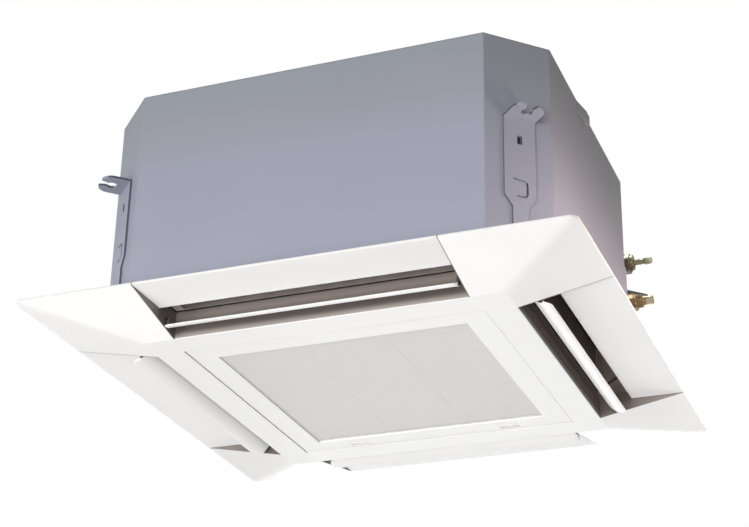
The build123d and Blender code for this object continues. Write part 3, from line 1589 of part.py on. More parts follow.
with BuildPart() as grille_louvre:
    slat_count = int(louvre_size / slat_pitch) - 1
    slat_run = slat_height / cos(radians(slat_lean))
    for i in range(slat_count):
        slat_y = (i - (slat_count - 1) / 2) * slat_pitch
        with BuildSketch(Plane.YZ):
            with Locations(Location((slat_y, louvre_face + slat_height / 2), slat_lean)):
                Rectangle(slat_thickness, slat_run)
            with Locations((slat_y, louvre_face + slat_height / 2)):
                Rectangle(slat_pitch * 2, slat_height, mode=Mode.INTERSECT)
        extrude(amount=half_louvre, both=True)
    rib_gap = louvre_size / (rib_count + 1)
    with BuildSketch(Plane.XY.offset(louvre_face)):
        with GridLocations(rib_gap, 0, rib_count, 1):
            Rectangle(rib_thickness, louvre_size)
        Rectangle(louvre_size, louvre_size)
        inner_louvre = louvre_size - 2 * rib_thickness
        with GridLocations(0, 0, 1, 1):
            Rectangle(inner_louvre, inner_louvre, mode=Mode.SUBTRACT)
        with GridLocations(rib_gap, 0, rib_count, 1):
            Rectangle(rib_thickness, louvre_size)
    extrude(amount=slat_height)
finish(grille_louvre, "grille_louvre")

with BuildPart() as grille_hinge_pins:
    for side in (-1, 1):
        hinge_x = side * hinge_spacing / 2
        pin_plane = Plane(origin=(hinge_x, hinge_y, hinge_level), x_dir=(0, 1, 0), z_dir=(1, 0, 0))
        with BuildSketch(pin_plane):
            Circle(hinge_pin_radius)
        extrude(amount=hinge_notch / 2 + hinge_grip, both=True)
        arm_half = hinge_notch / 4
        box_between(
            (hinge_x - arm_half, hinge_y - hinge_pin_radius * 0.8, hinge_level),
            (hinge_x + arm_half, hinge_y + hinge_pin_radius * 0.8, grille_rim_top + 2),
        )
        box_between(
            (hinge_x - arm_half, -half_opening, grille_rim_top),
            (hinge_x + arm_half, hinge_y, grille_rim_top + 2),
        )
finish(grille_hinge_pins, "grille_hinge_pins")

for name, side in (("left", -1), ("right", 1)):
    with BuildPart() as latch:
        latch_x = side * latch_spacing / 2
        knob_half = latch_width / 2 - latch_gap
        # finger plate, flush with the grille frame
        box_between(
            (latch_x - knob_half, latch_centre - latch_length / 2, grille_face),
            (latch_x + knob_half, latch_centre + latch_length / 2, latch_top),
        )
        # tongue towards the panel's wall
        box_between(
            (latch_x - knob_half, latch_centre - latch_length / 2, latch_top),
            (latch_x + knob_half, grille_half + grille_gap - latch_gap, latch_top + latch_tongue),
        )
        # finger groove
        box_between(
            (latch_x - knob_half + 4, latch_centre - 1, grille_face),
            (latch_x + knob_half - 4, latch_centre + 1, grille_face + 1),
            mode=Mode.SUBTRACT,
        )
    finish(latch, f"latch_{name}")

half_filter = filter_size / 2
with BuildPart() as filter_frame:
    with BuildSketch(Plane.XY.offset(slat_top)):
        Rectangle(filter_size, filter_size)
        inner_filter = filter_size - 2 * filter_border
        Rectangle(inner_filter, inner_filter, mode=Mode.SUBTRACT)
        with GridLocations(inner_filter / 3, 0, 2, 1):
            Rectangle(filter_border / 2, inner_filter)
        with GridLocations(0, inner_filter / 3, 1, 2):
            Rectangle(inner_filter, filter_border / 2)
    extrude(amount=filter_thickness)
finish(filter_frame, "filter_frame")

with BuildPart() as filter_mesh:
    with BuildSketch(Plane.XY.offset(slat_top + filter_thickness)):
        mesh_size = filter_size - filter_border
        mesh_pitch = (mesh_size - filter_mesh_bar) / filter_mesh_count
        Rectangle(mesh_size, mesh_size)
        with GridLocations(mesh_pitch, mesh_pitch, filter_mesh_count, filter_mesh_count):
            Rectangle(mesh_pitch - filter_mesh_bar, mesh_pitch - filter_mesh_bar, mode=Mode.SUBTRACT)
    extrude(amount=filter_mesh_thickness)
finish(filter_mesh, "filter_mesh")
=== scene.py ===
"""Dresses a four-way ceiling cassette air conditioner: finishes, fine pieces, light and camera."""

import json
from math import radians

import bmesh
import bpy
import numpy as np
from bpy.props import FloatProperty, FloatVectorProperty, IntProperty, PointerProperty
from mathutils import Matrix, Vector


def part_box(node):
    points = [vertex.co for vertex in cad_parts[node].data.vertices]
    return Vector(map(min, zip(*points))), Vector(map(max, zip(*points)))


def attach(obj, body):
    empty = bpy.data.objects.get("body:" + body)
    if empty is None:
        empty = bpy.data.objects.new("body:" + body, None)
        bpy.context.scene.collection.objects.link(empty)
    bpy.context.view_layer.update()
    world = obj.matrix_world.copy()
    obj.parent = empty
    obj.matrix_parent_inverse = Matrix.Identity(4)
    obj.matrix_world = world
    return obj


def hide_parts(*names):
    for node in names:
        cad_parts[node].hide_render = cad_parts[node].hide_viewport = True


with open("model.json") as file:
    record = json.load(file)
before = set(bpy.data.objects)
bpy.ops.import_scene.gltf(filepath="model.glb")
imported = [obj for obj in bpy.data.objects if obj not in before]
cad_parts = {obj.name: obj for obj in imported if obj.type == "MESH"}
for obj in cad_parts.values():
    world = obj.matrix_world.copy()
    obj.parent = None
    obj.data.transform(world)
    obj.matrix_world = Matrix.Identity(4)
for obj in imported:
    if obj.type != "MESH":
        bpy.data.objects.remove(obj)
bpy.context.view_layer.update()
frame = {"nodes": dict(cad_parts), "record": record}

bl_info = {
    "name": "Ceiling cassette air conditioner",
    "version": (1, 1, 0),
    "blender": (4, 5, 0),
    "location": "View3D > Sidebar > Cassette",
    "description": "Finishes, fine pieces, light and camera for a four-way ceiling cassette",
    "category": "Object",
}

# Places in metres. The panel hangs below the ceiling plane, which lies under the suspension holes.
LOUVRE_LOW, LOUVRE_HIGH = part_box("grille_louvre")
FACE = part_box("panel_frame")[0][2]
PANEL_DROP = 0.026
CEILING = FACE + PANEL_DROP
CASING_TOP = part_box("casing_side_sheet")[1][2]
OUTLET_INNER, OUTLET_OUTER, OUTLET_HALF = 0.235, 0.279, 0.190
FLAP_AXIS = (0.258, CEILING - 0.012)
FLAP_MIDDLE = (0.262, CEILING - 0.018)
FLAP_TILT = radians(27.5)
PIN_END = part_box("flap_front")[1][0]
# A bracket's face stands this far out along its corner's diagonal, and less by the inset at the pipes.
BRACKET_OUT, PIPE_CORNER_INSET = 0.3682, 0.0692
# Along X: where a pipe comes out of the casing, and where the gas pipe's bare end starts.
PIPE_OUTSIDE, PIPE_BARE = 0.262, 0.3075
FLOOR_DEPTH, FLOOR_HALF, FLOOR_GLOW = -5.0, 30.0, 0.7
SIDES = {"front": (0, -1), "right": (1, 0), "back": (0, 1), "left": (-1, 0)}
SLOT_OF = {entry["node"]: entry["material_slot"] for entry in frame["record"]["subparts"]}


def rgb(red, green, blue):
    """A colour in 0 to 255 as the eye sees it, turned into the linear numbers that shaders use."""
    levels = np.array([red, green, blue]) / 255.0
    linear = np.where(levels <= 0.04045, levels / 12.92, ((levels + 0.055) / 1.055) ** 2.4)
    return (*linear.tolist(), 1.0)


def darker(colour, share):
    """The same colour with its light turned down by this share."""
    return tuple(c * (1 - share) for c in colour[:3]) + (1.0,)


# ---------------------------------------------------------------- shader nodes


class Wire:
    """A value running between shader nodes; Python's operators add Math nodes to it."""

    def __init__(self, tree, socket):
        self.tree = tree
        self.socket = socket

    def maths(self, operation, first, second=0.0):
        return self.tree.node("ShaderNodeMath", {"operation": operation}, {0: first, 1: second})

    def __add__(self, other):
        return self.maths("ADD", self, other)

    def __sub__(self, other):
        return self.maths("SUBTRACT", self, other)

    def __rsub__(self, other):
        return self.maths("SUBTRACT", other, self)

    def __mul__(self, other):
        return self.maths("MULTIPLY", self, other)

    def __truediv__(self, other):
        return self.maths("DIVIDE", self, other)

    def __abs__(self):
        return self.maths("ABSOLUTE", self)

    def __gt__(self, other):
        return self.maths("GREATER_THAN", self, other)

    def __lt__(self, other):
        return self.maths("LESS_THAN", self, other)

    __radd__ = __add__
    __rmul__ = __mul__

    def least(self, other):
        return self.maths("MINIMUM", self, other)

    def most(self, other):
        return self.maths("MAXIMUM", self, other)

    def sine(self):
        return self.maths("SINE", self)

    def rise(self, start, end, low=0.0, high=1.0):
        """Goes smoothly from low at start to high at end."""
        settings = {"interpolation_type": "SMOOTHSTEP"}
        values = {"Value": self, "From Min": start, "From Max": end, "To Min": low, "To Max": high}
        return self.tree.node("ShaderNodeMapRange", settings, values)


class Tree:
    """A node tree under construction, with one method that adds any node."""

    def __init__(self, owner):
        owner.use_nodes = True
        self.nodes = owner.node_tree.nodes
        self.links = owner.node_tree.links
        self.nodes.clear()

    def node(self, kind, settings=None, values=None, output=0):
        """Adds a node with these settings, then fills its sockets with numbers or wires."""
        made = self.nodes.new(kind)
        for key, value in (settings or {}).items():
            setattr(made, key, value)
        for key, value in (values or {}).items():
            if isinstance(value, Wire):
                self.links.new(value.socket, made.inputs[key])
            else:
                made.inputs[key].default_value = value
        return Wire(self, made.outputs[output]) if len(made.outputs) else None


class Finish(Tree):
    """A material whose patterns lie on Object coordinates."""

    def __init__(self, name):
        self.material = bpy.data.materials.new(name)
        super().__init__(self.material)

    def place(self):
        """Object coordinates, in metres, as a vector and its three numbers."""
        vector = self.node("ShaderNodeTexCoord", output=3)
        split = self.node("ShaderNodeSeparateXYZ", values={0: vector})
        return vector, *(Wire(self, socket) for socket in split.socket.node.outputs)

    def noise(self, vector, scale, detail=2.0, roughness=0.5):
        values = {"Vector": vector, "Scale": scale, "Detail": detail, "Roughness": roughness}
        return self.node("ShaderNodeTexNoise", values=values)

    def mix(self, factor, first, second):
        """Mixes two colours."""
        values = {0: factor, 6: first, 7: second}
        return self.node("ShaderNodeMix", {"data_type": "RGBA"}, values, output=2)

    def bump(self, height, distance, strength=1.0, normal=None):
        values = {"Height": height, "Distance": distance, "Strength": strength}
        if normal is not None:
            values["Normal"] = normal
        return self.node("ShaderNodeBump", values=values)

    def rounded(self, radius):
        """A normal that looks as if sharp edges were rounded off."""
        return self.node("ShaderNodeBevel", {"samples": 6}, {"Radius": radius})

    def shade(self, **values):
        """Ends the tree in a Principled shader with these sockets."""
        names = {key.replace("_", " "): value for key, value in values.items()}
        surface = self.node("ShaderNodeBsdfPrincipled", values=names)
        self.node("ShaderNodeOutputMaterial", values={"Surface": surface})
        return self.material


# ---------------------------------------------------------------- finishes


def moulded(name, colour, roughness=0.42, spread=0.03, edge=0.0006):
    """Moulded plastic: faint mottle, fine grain and softened edges."""
    look = Finish(name)
    place = look.place()[0]
    mottle = look.noise(place, 9.0, 3.0)
    base = look.mix(mottle.rise(0.3, 0.7), darker(colour, spread), colour)
    grains = look.noise(place, 1400.0, 1.0)
    normal = look.bump(grains, 0.00002, 0.6, look.rounded(edge))
    rough = look.noise(place, 60.0).rise(0.3, 0.7, roughness - 0.04, roughness + 0.05)
    return look.shade(Base_Color=base, Roughness=rough, Normal=normal)


def metal(name, colour, roughness=0.35, stain=0.25, brushed=0.00001, edge=0.0005):
    """Bare metal with stains, and brush marks along X."""
    look = Finish(name)
    place = look.place()[0]
    patches = look.noise(place, 45.0, 4.0, 0.6)
    base = look.mix(patches.rise(0.35, 0.7), colour, darker(colour, stain))
    stretched = look.node("ShaderNodeMapping", values={"Vector": place, "Scale": (60.0, 1600.0, 1600.0)})
    lines = look.noise(stretched, 1.0, 2.0)
    normal = look.bump(lines, brushed, 0.5, look.rounded(edge))
    rough = patches.rise(0.3, 0.75, roughness, roughness + 0.18)
    return look.shade(Base_Color=base, Roughness=rough, Metallic=1.0, Normal=normal)


def tarnished(name, colour, deep, roughness=0.45, upper=None):
    """Brass that has gone dull: small dark blotches over it, still metal where they are thin. upper, if
    given, is the pair of colours on the upper line, which lies over the height of the tabs."""
    look = Finish(name)
    place, x, y, z = look.place()
    blotches = look.noise(place, 190.0, 5.0, 0.7)
    drifts = look.noise(place, 55.0, 2.0)
    dull = (blotches * 0.65 + drifts * 0.35).rise(0.42, 0.58)
    base = look.mix(dull, colour, deep)
    if upper:
        base = look.mix(z.rise(-0.02, -0.01), base, look.mix(dull, *upper))
    pits = look.noise(place, 900.0, 2.0)
    normal = look.bump(pits, 0.00006, 0.7, look.rounded(0.0004))
    rough = dull.rise(0.0, 1.0, roughness, roughness + 0.3)
    bare = dull.rise(0.0, 1.0, 0.85, 0.25)
    return look.shade(Base_Color=base, Roughness=rough, Metallic=bare, Normal=normal)


def piped(colour, weathered, tip):
    """Copper tube indoors; outside the casing it is tan with handling, and its bare end is pale."""
    look = Finish("pipe_copper")
    place, x, y, z = look.place()
    streaks = look.noise(place, 120.0, 4.0, 0.6)
    outside = (x + streaks * 0.01).rise(PIPE_OUTSIDE, PIPE_OUTSIDE + 0.008)
    base = look.mix(outside, look.mix(streaks.rise(0.35, 0.7), colour, darker(colour, 0.35)), weathered)
    end = (x + streaks * 0.002).rise(PIPE_BARE, PIPE_BARE + 0.002)
    base = look.mix(end, base, tip)
    normal = look.bump(streaks, 0.00003, 0.5, look.rounded(0.0004))
    rough = streaks.rise(0.3, 0.75, 0.3, 0.5)
    bare = end.rise(0.0, 1.0, 0.9, 0.4)
    return look.shade(Base_Color=base, Roughness=rough, Metallic=bare, Normal=normal)


def porous(name, colour, scale=700.0):
    """Rubber or closed foam: dull, with fine pores."""
    look = Finish(name)
    place = look.place()[0]
    pores = look.node("ShaderNodeTexVoronoi", values={"Vector": place, "Scale": scale})
    cloud = look.noise(place, 30.0, 3.0)
    base = look.mix(cloud.rise(0.35, 0.7), colour, darker(colour, 0.18))
    normal = look.bump(pores, 0.0001, 0.6)
    return look.shade(Base_Color=base, Roughness=0.9, Normal=normal)


def casing_paint(colour):
    """Coated steel sheet: faint clouds and orange peel, and painted shade that turns it a darker grey towards
    the lid.
    The brackets stand out on the cut corners, past 367 mm along the corner's own diagonal, or 298 mm at the
    pipes; their cut edges, which face along the corner, carry painted shade, darkest where they face the front."""
    look = Finish("casing_paint")
    place, x, y, z = look.place()
    # painted shade: the sheet turns a darker grey towards the lid
    up = z.rise(CEILING + 0.12, CASING_TOP)
    lid_shaded_tone = look.mix(up, colour, rgb(155, 159, 167))
    clouds = look.noise(place, 5.0, 3.0)
    base = look.mix(clouds.rise(0.3, 0.75), lid_shaded_tone, look.mix(0.2, lid_shaded_tone, rgb(150, 154, 168)))
    facing = look.node("ShaderNodeNewGeometry", output=3)
    split = look.node("ShaderNodeSeparateXYZ", values={0: facing})
    turn_x, turn_y = (Wire(look, socket) for socket in split.socket.node.outputs[:2])
    side_x, side_y = x.maths("SIGN", x), y.maths("SIGN", y)
    along = abs(turn_y * side_x - turn_x * side_y)
    out = (abs(x) + abs(y)) * 0.7071
    pipes = (x > 0.1) * (y > 0.1)
    # painted shade on the brackets' cut edges, strongest where they face the front
    edge = (along > 1.1) * (out > BRACKET_OUT - pipes * PIPE_CORNER_INSET)
    base = look.mix(edge * ((turn_y < 0.0) * 0.55 + 0.25), base, rgb(64, 67, 78))
    peel = look.noise(place, 900.0, 1.0)
    normal = look.bump(peel, 0.00002, 0.5, look.rounded(0.0012))
    rough = clouds.rise(0.3, 0.7, 0.46, 0.56)
    return look.shade(Base_Color=base, Roughness=rough, Normal=normal, Specular_IOR_Level=0.1)


def panel_plastic(colour, duct):
    """White moulded plastic. The recesses' end walls carry painted shade, greyer towards the ducts, with a thin
    painted shadow line outside them.
    The four air ducts go from a pale lip to dark, their own darker colour deepened by painted shade, and are a
    little paler again further up."""
    look = Finish("panel_white")
    place, x, y, z = look.place()
    far = abs(x).most(abs(y))
    near = abs(x).least(abs(y))
    within = (far > OUTLET_INNER - 0.0004) * (far < OUTLET_OUTER + 0.0004)
    in_duct = within * (near < OUTLET_HALF + 0.0004)
    mottle = look.noise(place, 7.0, 3.0)
    white = look.mix(mottle.rise(0.3, 0.7), darker(colour, 0.02), colour)
    # painted shade: the recesses' end walls are greyer, darkest towards the ducts
    end_wall = (abs(near - OUTLET_HALF) < 0.0005) * (far > OUTLET_OUTER) * (z > FACE + 0.0002)
    end_wall_shade = look.mix(far.rise(0.285, 0.325), rgb(156, 146, 141), rgb(204, 193, 189))
    white = look.mix(end_wall, white, end_wall_shade)
    # painted shade: the duct walls darken upwards from the lip, over the ducts' own darker colour
    shadow = look.mix(z.rise(FACE + 0.0014, FACE + 0.011), rgb(168, 160, 154), duct)
    shadow = look.mix(z.rise(FACE + 0.02, FACE + 0.03), shadow, rgb(150, 140, 134))
    base = look.mix(in_duct * (z > FACE + 0.0011), white, shadow)
    # painted shadow line: a thin dark line along the recesses' ends, where an end wall is seen edge-on
    painted_shadow_line = (abs(near - OUTLET_HALF - 0.0005) < 0.0007) * (far > OUTLET_INNER)
    base = look.mix(painted_shadow_line * 0.85, base, rgb(112, 104, 100))
    grains = look.noise(place, 1300.0, 1.0)
    normal = look.bump(grains, 0.00002, 0.6, look.rounded(0.0012))
    rough = look.noise(place, 50.0).rise(0.3, 0.7, 0.40, 0.48)
    return look.shade(Base_Color=base, Roughness=rough, Normal=normal)


def flap_plastic(colour):
    """White moulded plastic; the ears and pins, up in the duct, are darkened to grey by painted shade."""
    look = Finish("flap_white")
    place, x, y, z = look.place()
    near = abs(x).least(abs(y))
    # painted shade: the flap's ends high up in the duct, ears and pins, darken to grey
    ear = (near > OUTLET_HALF - 0.0066) * z.rise(CEILING - 0.0205, CEILING - 0.0185)
    mottle = look.noise(place, 9.0, 3.0)
    white = look.mix(mottle.rise(0.3, 0.7), darker(colour, 0.03), colour)
    base = look.mix(ear, white, rgb(92, 86, 82))
    grains = look.noise(place, 1400.0, 1.0)
    normal = look.bump(grains, 0.00002, 0.6)
    rough = look.noise(place, 60.0).rise(0.3, 0.7, 0.34, 0.42)
    return look.shade(Base_Color=base, Roughness=rough, Normal=normal)


def fin_pack():
    """Aluminium fins edge on: fine upright lines with the tubes' rows showing through."""
    look = Finish("coil_fins")
    place, x, y, z = look.place()
    lines = ((x + y) * 2600.0).sine() + ((x - y) * 2600.0).sine()
    rows = (z * 285.0).sine()
    base = look.mix(lines.rise(-1.2, 1.2) * 0.6, rgb(120, 122, 124), rgb(205, 207, 209))
    base = look.mix(rows.rise(0.6, 1.0) * 0.3, base, rgb(150, 120, 95))
    normal = look.bump(lines, 0.0003, 0.7)
    return look.shade(Base_Color=base, Roughness=0.4, Metallic=0.7, Normal=normal)


def net_cloth(colour):
    """Woven synthetic net: each strand a little lighter or darker along its length."""
    look = Finish("filter_net")
    place, x, y, z = look.place()
    strands = (x * 966.0).sine() * 0.5 + (y * 966.0).sine() * 0.5
    base = look.mix(strands.rise(-1.0, 1.0), darker(colour, 0.2), colour)
    fuzz = look.noise(place, 2200.0, 1.0)
    return look.shade(Base_Color=base, Roughness=0.75, Normal=look.bump(fuzz, 0.00003, 0.5))


FINISHES = {
    "body_paint": lambda hues: casing_paint(hues.casing),
    "zinc": lambda hues: metal("zinc_sheet", rgb(176, 180, 184), 0.4),
    "screw_steel": lambda hues: metal("screw_steel", rgb(150, 152, 154), 0.3),
    "panel_white": lambda hues: panel_plastic(hues.panel, hues.duct),
    "flap_white": lambda hues: flap_plastic(hues.flap),
    "grille_grey": lambda hues: moulded("grille_grey", hues.louvre, 0.5, 0.01, 0.0003),
    "foam_grey": lambda hues: porous("liner_foam", rgb(84, 66, 66)),
    "pan_foam": lambda hues: porous("pan_foam", rgb(168, 158, 152)),
    "black_plastic": lambda hues: moulded("black_plastic", rgb(38, 38, 39), 0.5, 0.2),
    "fan_plastic": lambda hues: moulded("fan_plastic", rgb(76, 78, 81), 0.42, 0.1),
    "aluminium_fins": lambda hues: fin_pack(),
    "copper": lambda hues: piped(rgb(196, 128, 88), hues.brass, rgb(178, 172, 150)),
    "brass": lambda hues: tarnished(
        "brass", hues.brass, rgb(102, 84, 56), 0.36, (rgb(168, 168, 142), rgb(128, 126, 100))
    ),
    "dark_brass": lambda hues: tarnished("dark_brass", rgb(142, 139, 116), rgb(76, 71, 54), 0.42),
    "rubber_black": lambda hues: porous("black_rubber", rgb(34, 34, 35)),
    "motor_steel": lambda hues: metal("motor_steel", rgb(148, 150, 152), 0.38),
    "board_green": lambda hues: moulded("board_green", rgb(40, 92, 62), 0.4, 0.2),
    "mesh_grey": lambda hues: net_cloth(rgb(104, 106, 108)),
    "link_plastic": lambda hues: moulded("link_plastic", rgb(96, 90, 86), 0.45, 0.08),
    "drain_white": lambda hues: moulded("drain_white", rgb(206, 205, 200), 0.42),
}


# ---------------------------------------------------------------- surfaces


def skin(points, turn=True):
    """Corners and four-sided faces of grids of points, shaped (..., rows, columns, 3).

    Each face joins a point to the next in its row and in the next row. With turn, the last column
    joins the first, so each row is a closed ring.
    """
    grids = points.reshape((-1,) + points.shape[-3:])
    index = np.arange(grids[..., 0].size).reshape(grids.shape[:3])
    ahead = np.roll(index, -1, axis=2)
    if not turn:
        index, ahead = index[:, :, :-1], ahead[:, :, :-1]
    faces = np.stack([index[:, :-1], ahead[:, :-1], ahead[:, 1:], index[:, 1:]], axis=-1)
    return grids.reshape(-1, 3), faces.reshape(-1, 4)


def capped(rings):
    """Rings with a point added before the first and after the last, each the middle of its ring."""
    first, last = (
        np.broadcast_to(end.mean(axis=-2, keepdims=True), end.shape)
        for end in (rings[..., :1, :, :], rings[..., -1:, :, :])
    )
    return np.concatenate([first, rings, last], axis=-3)


def piece(name, skins, body, node, sharp=35.0):
    """Makes one mesh of these skins, closes its seams and poles, turns it outwards and dresses it."""
    corners, faces, count = [], [], 0
    for points, quads in skins:
        corners.append(points)
        faces.append(quads + count)
        count += len(points)
    mesh = bpy.data.meshes.new(name)
    mesh.from_pydata(np.concatenate(corners), [], np.concatenate(faces))
    work = bmesh.new()
    work.from_mesh(mesh)
    bmesh.ops.remove_doubles(work, verts=work.verts, dist=2e-6)
    bmesh.ops.dissolve_degenerate(work, edges=work.edges, dist=1e-6)
    bmesh.ops.recalc_face_normals(work, faces=work.faces)
    if work.calc_volume(signed=True) <= 0:
        raise ValueError(f"{name} is inside out")
    if any(not edge.is_manifold for edge in work.edges):
        raise ValueError(f"{name} has an open seam")
    work.to_mesh(mesh)
    work.free()
    mesh.shade_smooth()
    mesh.set_sharp_from_angle(angle=radians(sharp))
    mesh.materials.append(bpy.data.materials[f"{SLOT_OF[node]}_finish"])
    made = bpy.data.objects.new(name, mesh)
    bpy.context.scene.collection.objects.link(made)
    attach(made, body)
    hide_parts(node)
    return made


def turned(stations, radii, middle, teeth=None):
    """A turned piece on an axis along X: at each station a ring of that radius, in metres.

    teeth, if given, multiplies the radii by ring position: shape (stations, columns).
    """
    columns = 48 if teeth is None else teeth.shape[1]
    angle = np.arange(columns) * 2 * np.pi / columns
    radius = np.asarray(radii)[:, None] * (np.ones(columns) if teeth is None else teeth)
    along = np.broadcast_to(np.asarray(stations)[:, None], radius.shape)
    y = middle[0] + radius * np.sin(angle)
    z = middle[1] + radius * np.cos(angle)
    return skin(capped(np.stack([along, y, z], axis=-1)))


def to_side(side, offset, along, height):
    """Points given by distance from the middle, place along the outlet and height, on one side."""
    across, deep = SIDES[side]
    x = offset * across + along * deep
    y = offset * deep - along * across
    return np.stack(np.broadcast_arrays(x, y, height), axis=-1)


# ---------------------------------------------------------------- what a user would change


class CassetteSizes(bpy.types.PropertyGroup):
    """Sizes of the fine pieces."""

    flap_chord: FloatProperty(
        name="Flap width", description="Width of a flap, edge to edge", default=0.027, unit="LENGTH"
    )
    flap_thickness: FloatProperty(
        name="Flap thickness", description="Greatest thickness of a flap", default=0.0036, unit="LENGTH"
    )
    flap_camber: FloatProperty(
        name="Flap bow", description="How far a flap bows down", default=0.0024, unit="LENGTH"
    )
    flap_corner: FloatProperty(
        name="Flap corner", description="Radius of a flap's corners in plan", default=0.006, unit="LENGTH"
    )
    slat_lip: FloatProperty(
        name="Slat lip", description="Width of a louvre slat's lower lip", default=0.0062, unit="LENGTH"
    )
    slat_wall: FloatProperty(
        name="Slat wall", description="Wall thickness of a louvre slat", default=0.0011, unit="LENGTH"
    )
    slat_count: IntProperty(name="Slats", description="Number of slats in the louvre", default=40, min=2)
    net_pitch: FloatProperty(
        name="Net pitch", description="Distance between the net's strands", default=0.0065, unit="LENGTH"
    )
    net_strand: FloatProperty(
        name="Net strand", description="Radius of a strand of the net", default=0.0003, unit="LENGTH"
    )
    blade_thickness: FloatProperty(
        name="Blade thickness", description="Thickness of a fan blade", default=0.0034, unit="LENGTH"
    )
    knurls: IntProperty(name="Knurls", description="Ridges round the pipe cap", default=20, min=3)


def hue(name, description, red, green, blue):
    """A colour setting with its default given in 0 to 255."""
    start = rgb(red, green, blue)
    return FloatVectorProperty(
        name=name, description=description, subtype="COLOR", size=4, min=0.0, max=1.0, default=start
    )


class CassetteColours(bpy.types.PropertyGroup):
    """Colours of what shows."""

    casing: hue("Casing", "Painted steel casing and brackets", 167, 169, 185)
    panel: hue("Panel", "White panel round the grille", 245, 244, 242)
    flap: hue("Flaps", "The four air flaps", 244, 242, 240)
    louvre: hue("Louvre", "The suction grille's slats", 216, 212, 209)
    # deepest colour of the ducts, which also carries the panel's painted duct shade
    duct: hue("Ducts", "Inside of the air ducts", 112, 103, 98)
    brass: hue("Brass", "The gas line's union nut", 150, 131, 94)


# ---------------------------------------------------------------- fine pieces


class CASSETTE_OT_finishes(bpy.types.Operator):
    """Gives every node of the frame the finish of its slot"""

    bl_idname = "cassette.finishes"
    bl_label = "Finishes"

    def execute(self, context):
        hues = context.scene.cassette_colours
        for slot, make in FINISHES.items():
            make(hues).name = f"{slot}_finish"
        for node, slot in SLOT_OF.items():
            for holder in frame["nodes"][node].material_slots:
                holder.material = bpy.data.materials[f"{slot}_finish"]
        return {"FINISHED"}


class CASSETTE_OT_flaps(bpy.types.Operator):
    """Makes the four bowed air flaps with their ears and pins"""

    bl_idname = "cassette.flaps"
    bl_label = "Air flaps"

    def execute(self, context):
        sizes = context.scene.cassette_sizes
        for side in SIDES:
            skins = [self.blade(side, sizes)]
            for end in (-1, 1):
                skins.append(self.ear(side, end))
                skins.append(self.pin(side, end))
            piece(f"air_flap_{side}", skins, f"flap_{side}_body", f"flap_{side}")
        return {"FINISHED"}

    @staticmethod
    def blade(side, sizes):
        """Section: half the chord times cos(s) across; below it the bow, camber times 1 - (across / half
        chord) squared, plus half the thickness times sin(s) to the power 0.8. Towards its ends the half
        chord shrinks by r - sqrt(r squared - (r - distance from the end) squared), which rounds the corners.
        """
        half = OUTLET_HALF - 0.004
        corner = sizes.flap_corner
        ends = corner * (1 - np.cos(np.linspace(0, np.pi / 2, 9)))
        straight = np.linspace(-half + corner, half - corner, 24)[1:-1]
        along = np.concatenate([-half + ends, straight, half - ends[::-1]])
        inside = np.minimum(half - np.abs(along), corner)
        inset = corner - np.sqrt(np.maximum(corner**2 - (corner - inside) ** 2, 0.0))
        turn = np.arange(56) * 2 * np.pi / 56
        chord = (sizes.flap_chord / 2 - inset)[:, None]
        wall = sizes.flap_thickness / 2 * (1 - 0.35 * inset / corner)[:, None]
        across = chord * np.cos(turn)
        below = sizes.flap_camber * (1 - (across / (sizes.flap_chord / 2)) ** 2)
        below = below + wall * np.sign(np.sin(turn)) * np.abs(np.sin(turn)) ** 0.8
        offset = FLAP_MIDDLE[0] + across * np.cos(FLAP_TILT) - below * np.sin(FLAP_TILT)
        height = FLAP_MIDDLE[1] - across * np.sin(FLAP_TILT) - below * np.cos(FLAP_TILT)
        return skin(capped(to_side(side, offset, along[:, None], height)))

    @staticmethod
    def ear(side, end):
        """The outline round two circles, one at the axis and one in the flap: for each direction, the point
        of whichever circle reaches further that way. It is carried 2.5 mm along with softened edges."""
        turn = np.arange(56) * 2 * np.pi / 56
        aim = np.stack([np.cos(turn), np.sin(turn)], axis=-1)
        top, low = np.array(FLAP_AXIS), np.array(FLAP_MIDDLE) - (0.0006, 0.0009)
        reach_top = aim @ top + 0.0045
        reach_low = aim @ low + 0.0034
        start = OUTLET_HALF - 0.004
        along = end * (start - np.array([0.0025, 0.0022, 0.0003, 0.0]))
        shrink = np.array([0.0003, 0.0, 0.0, 0.0003])[:, None, None]
        outline = np.where((reach_top > reach_low)[:, None], top + aim * 0.0045, low + aim * 0.0034)
        rings = outline - aim * shrink
        return skin(capped(to_side(side, rings[..., 0], along[:, None], rings[..., 1])))

    @staticmethod
    def pin(side, end):
        """A round pin: rings of one radius, with a small chamfer at its tip."""
        turn = np.arange(28) * 2 * np.pi / 28
        along = end * np.array([OUTLET_HALF - 0.0055, PIN_END - 0.0005, PIN_END])[:, None]
        radius = np.array([0.003, 0.003, 0.0025])[:, None]
        offset = FLAP_AXIS[0] + radius * np.cos(turn)
        height = FLAP_AXIS[1] + radius * np.sin(turn)
        return skin(capped(to_side(side, offset, along, height)))


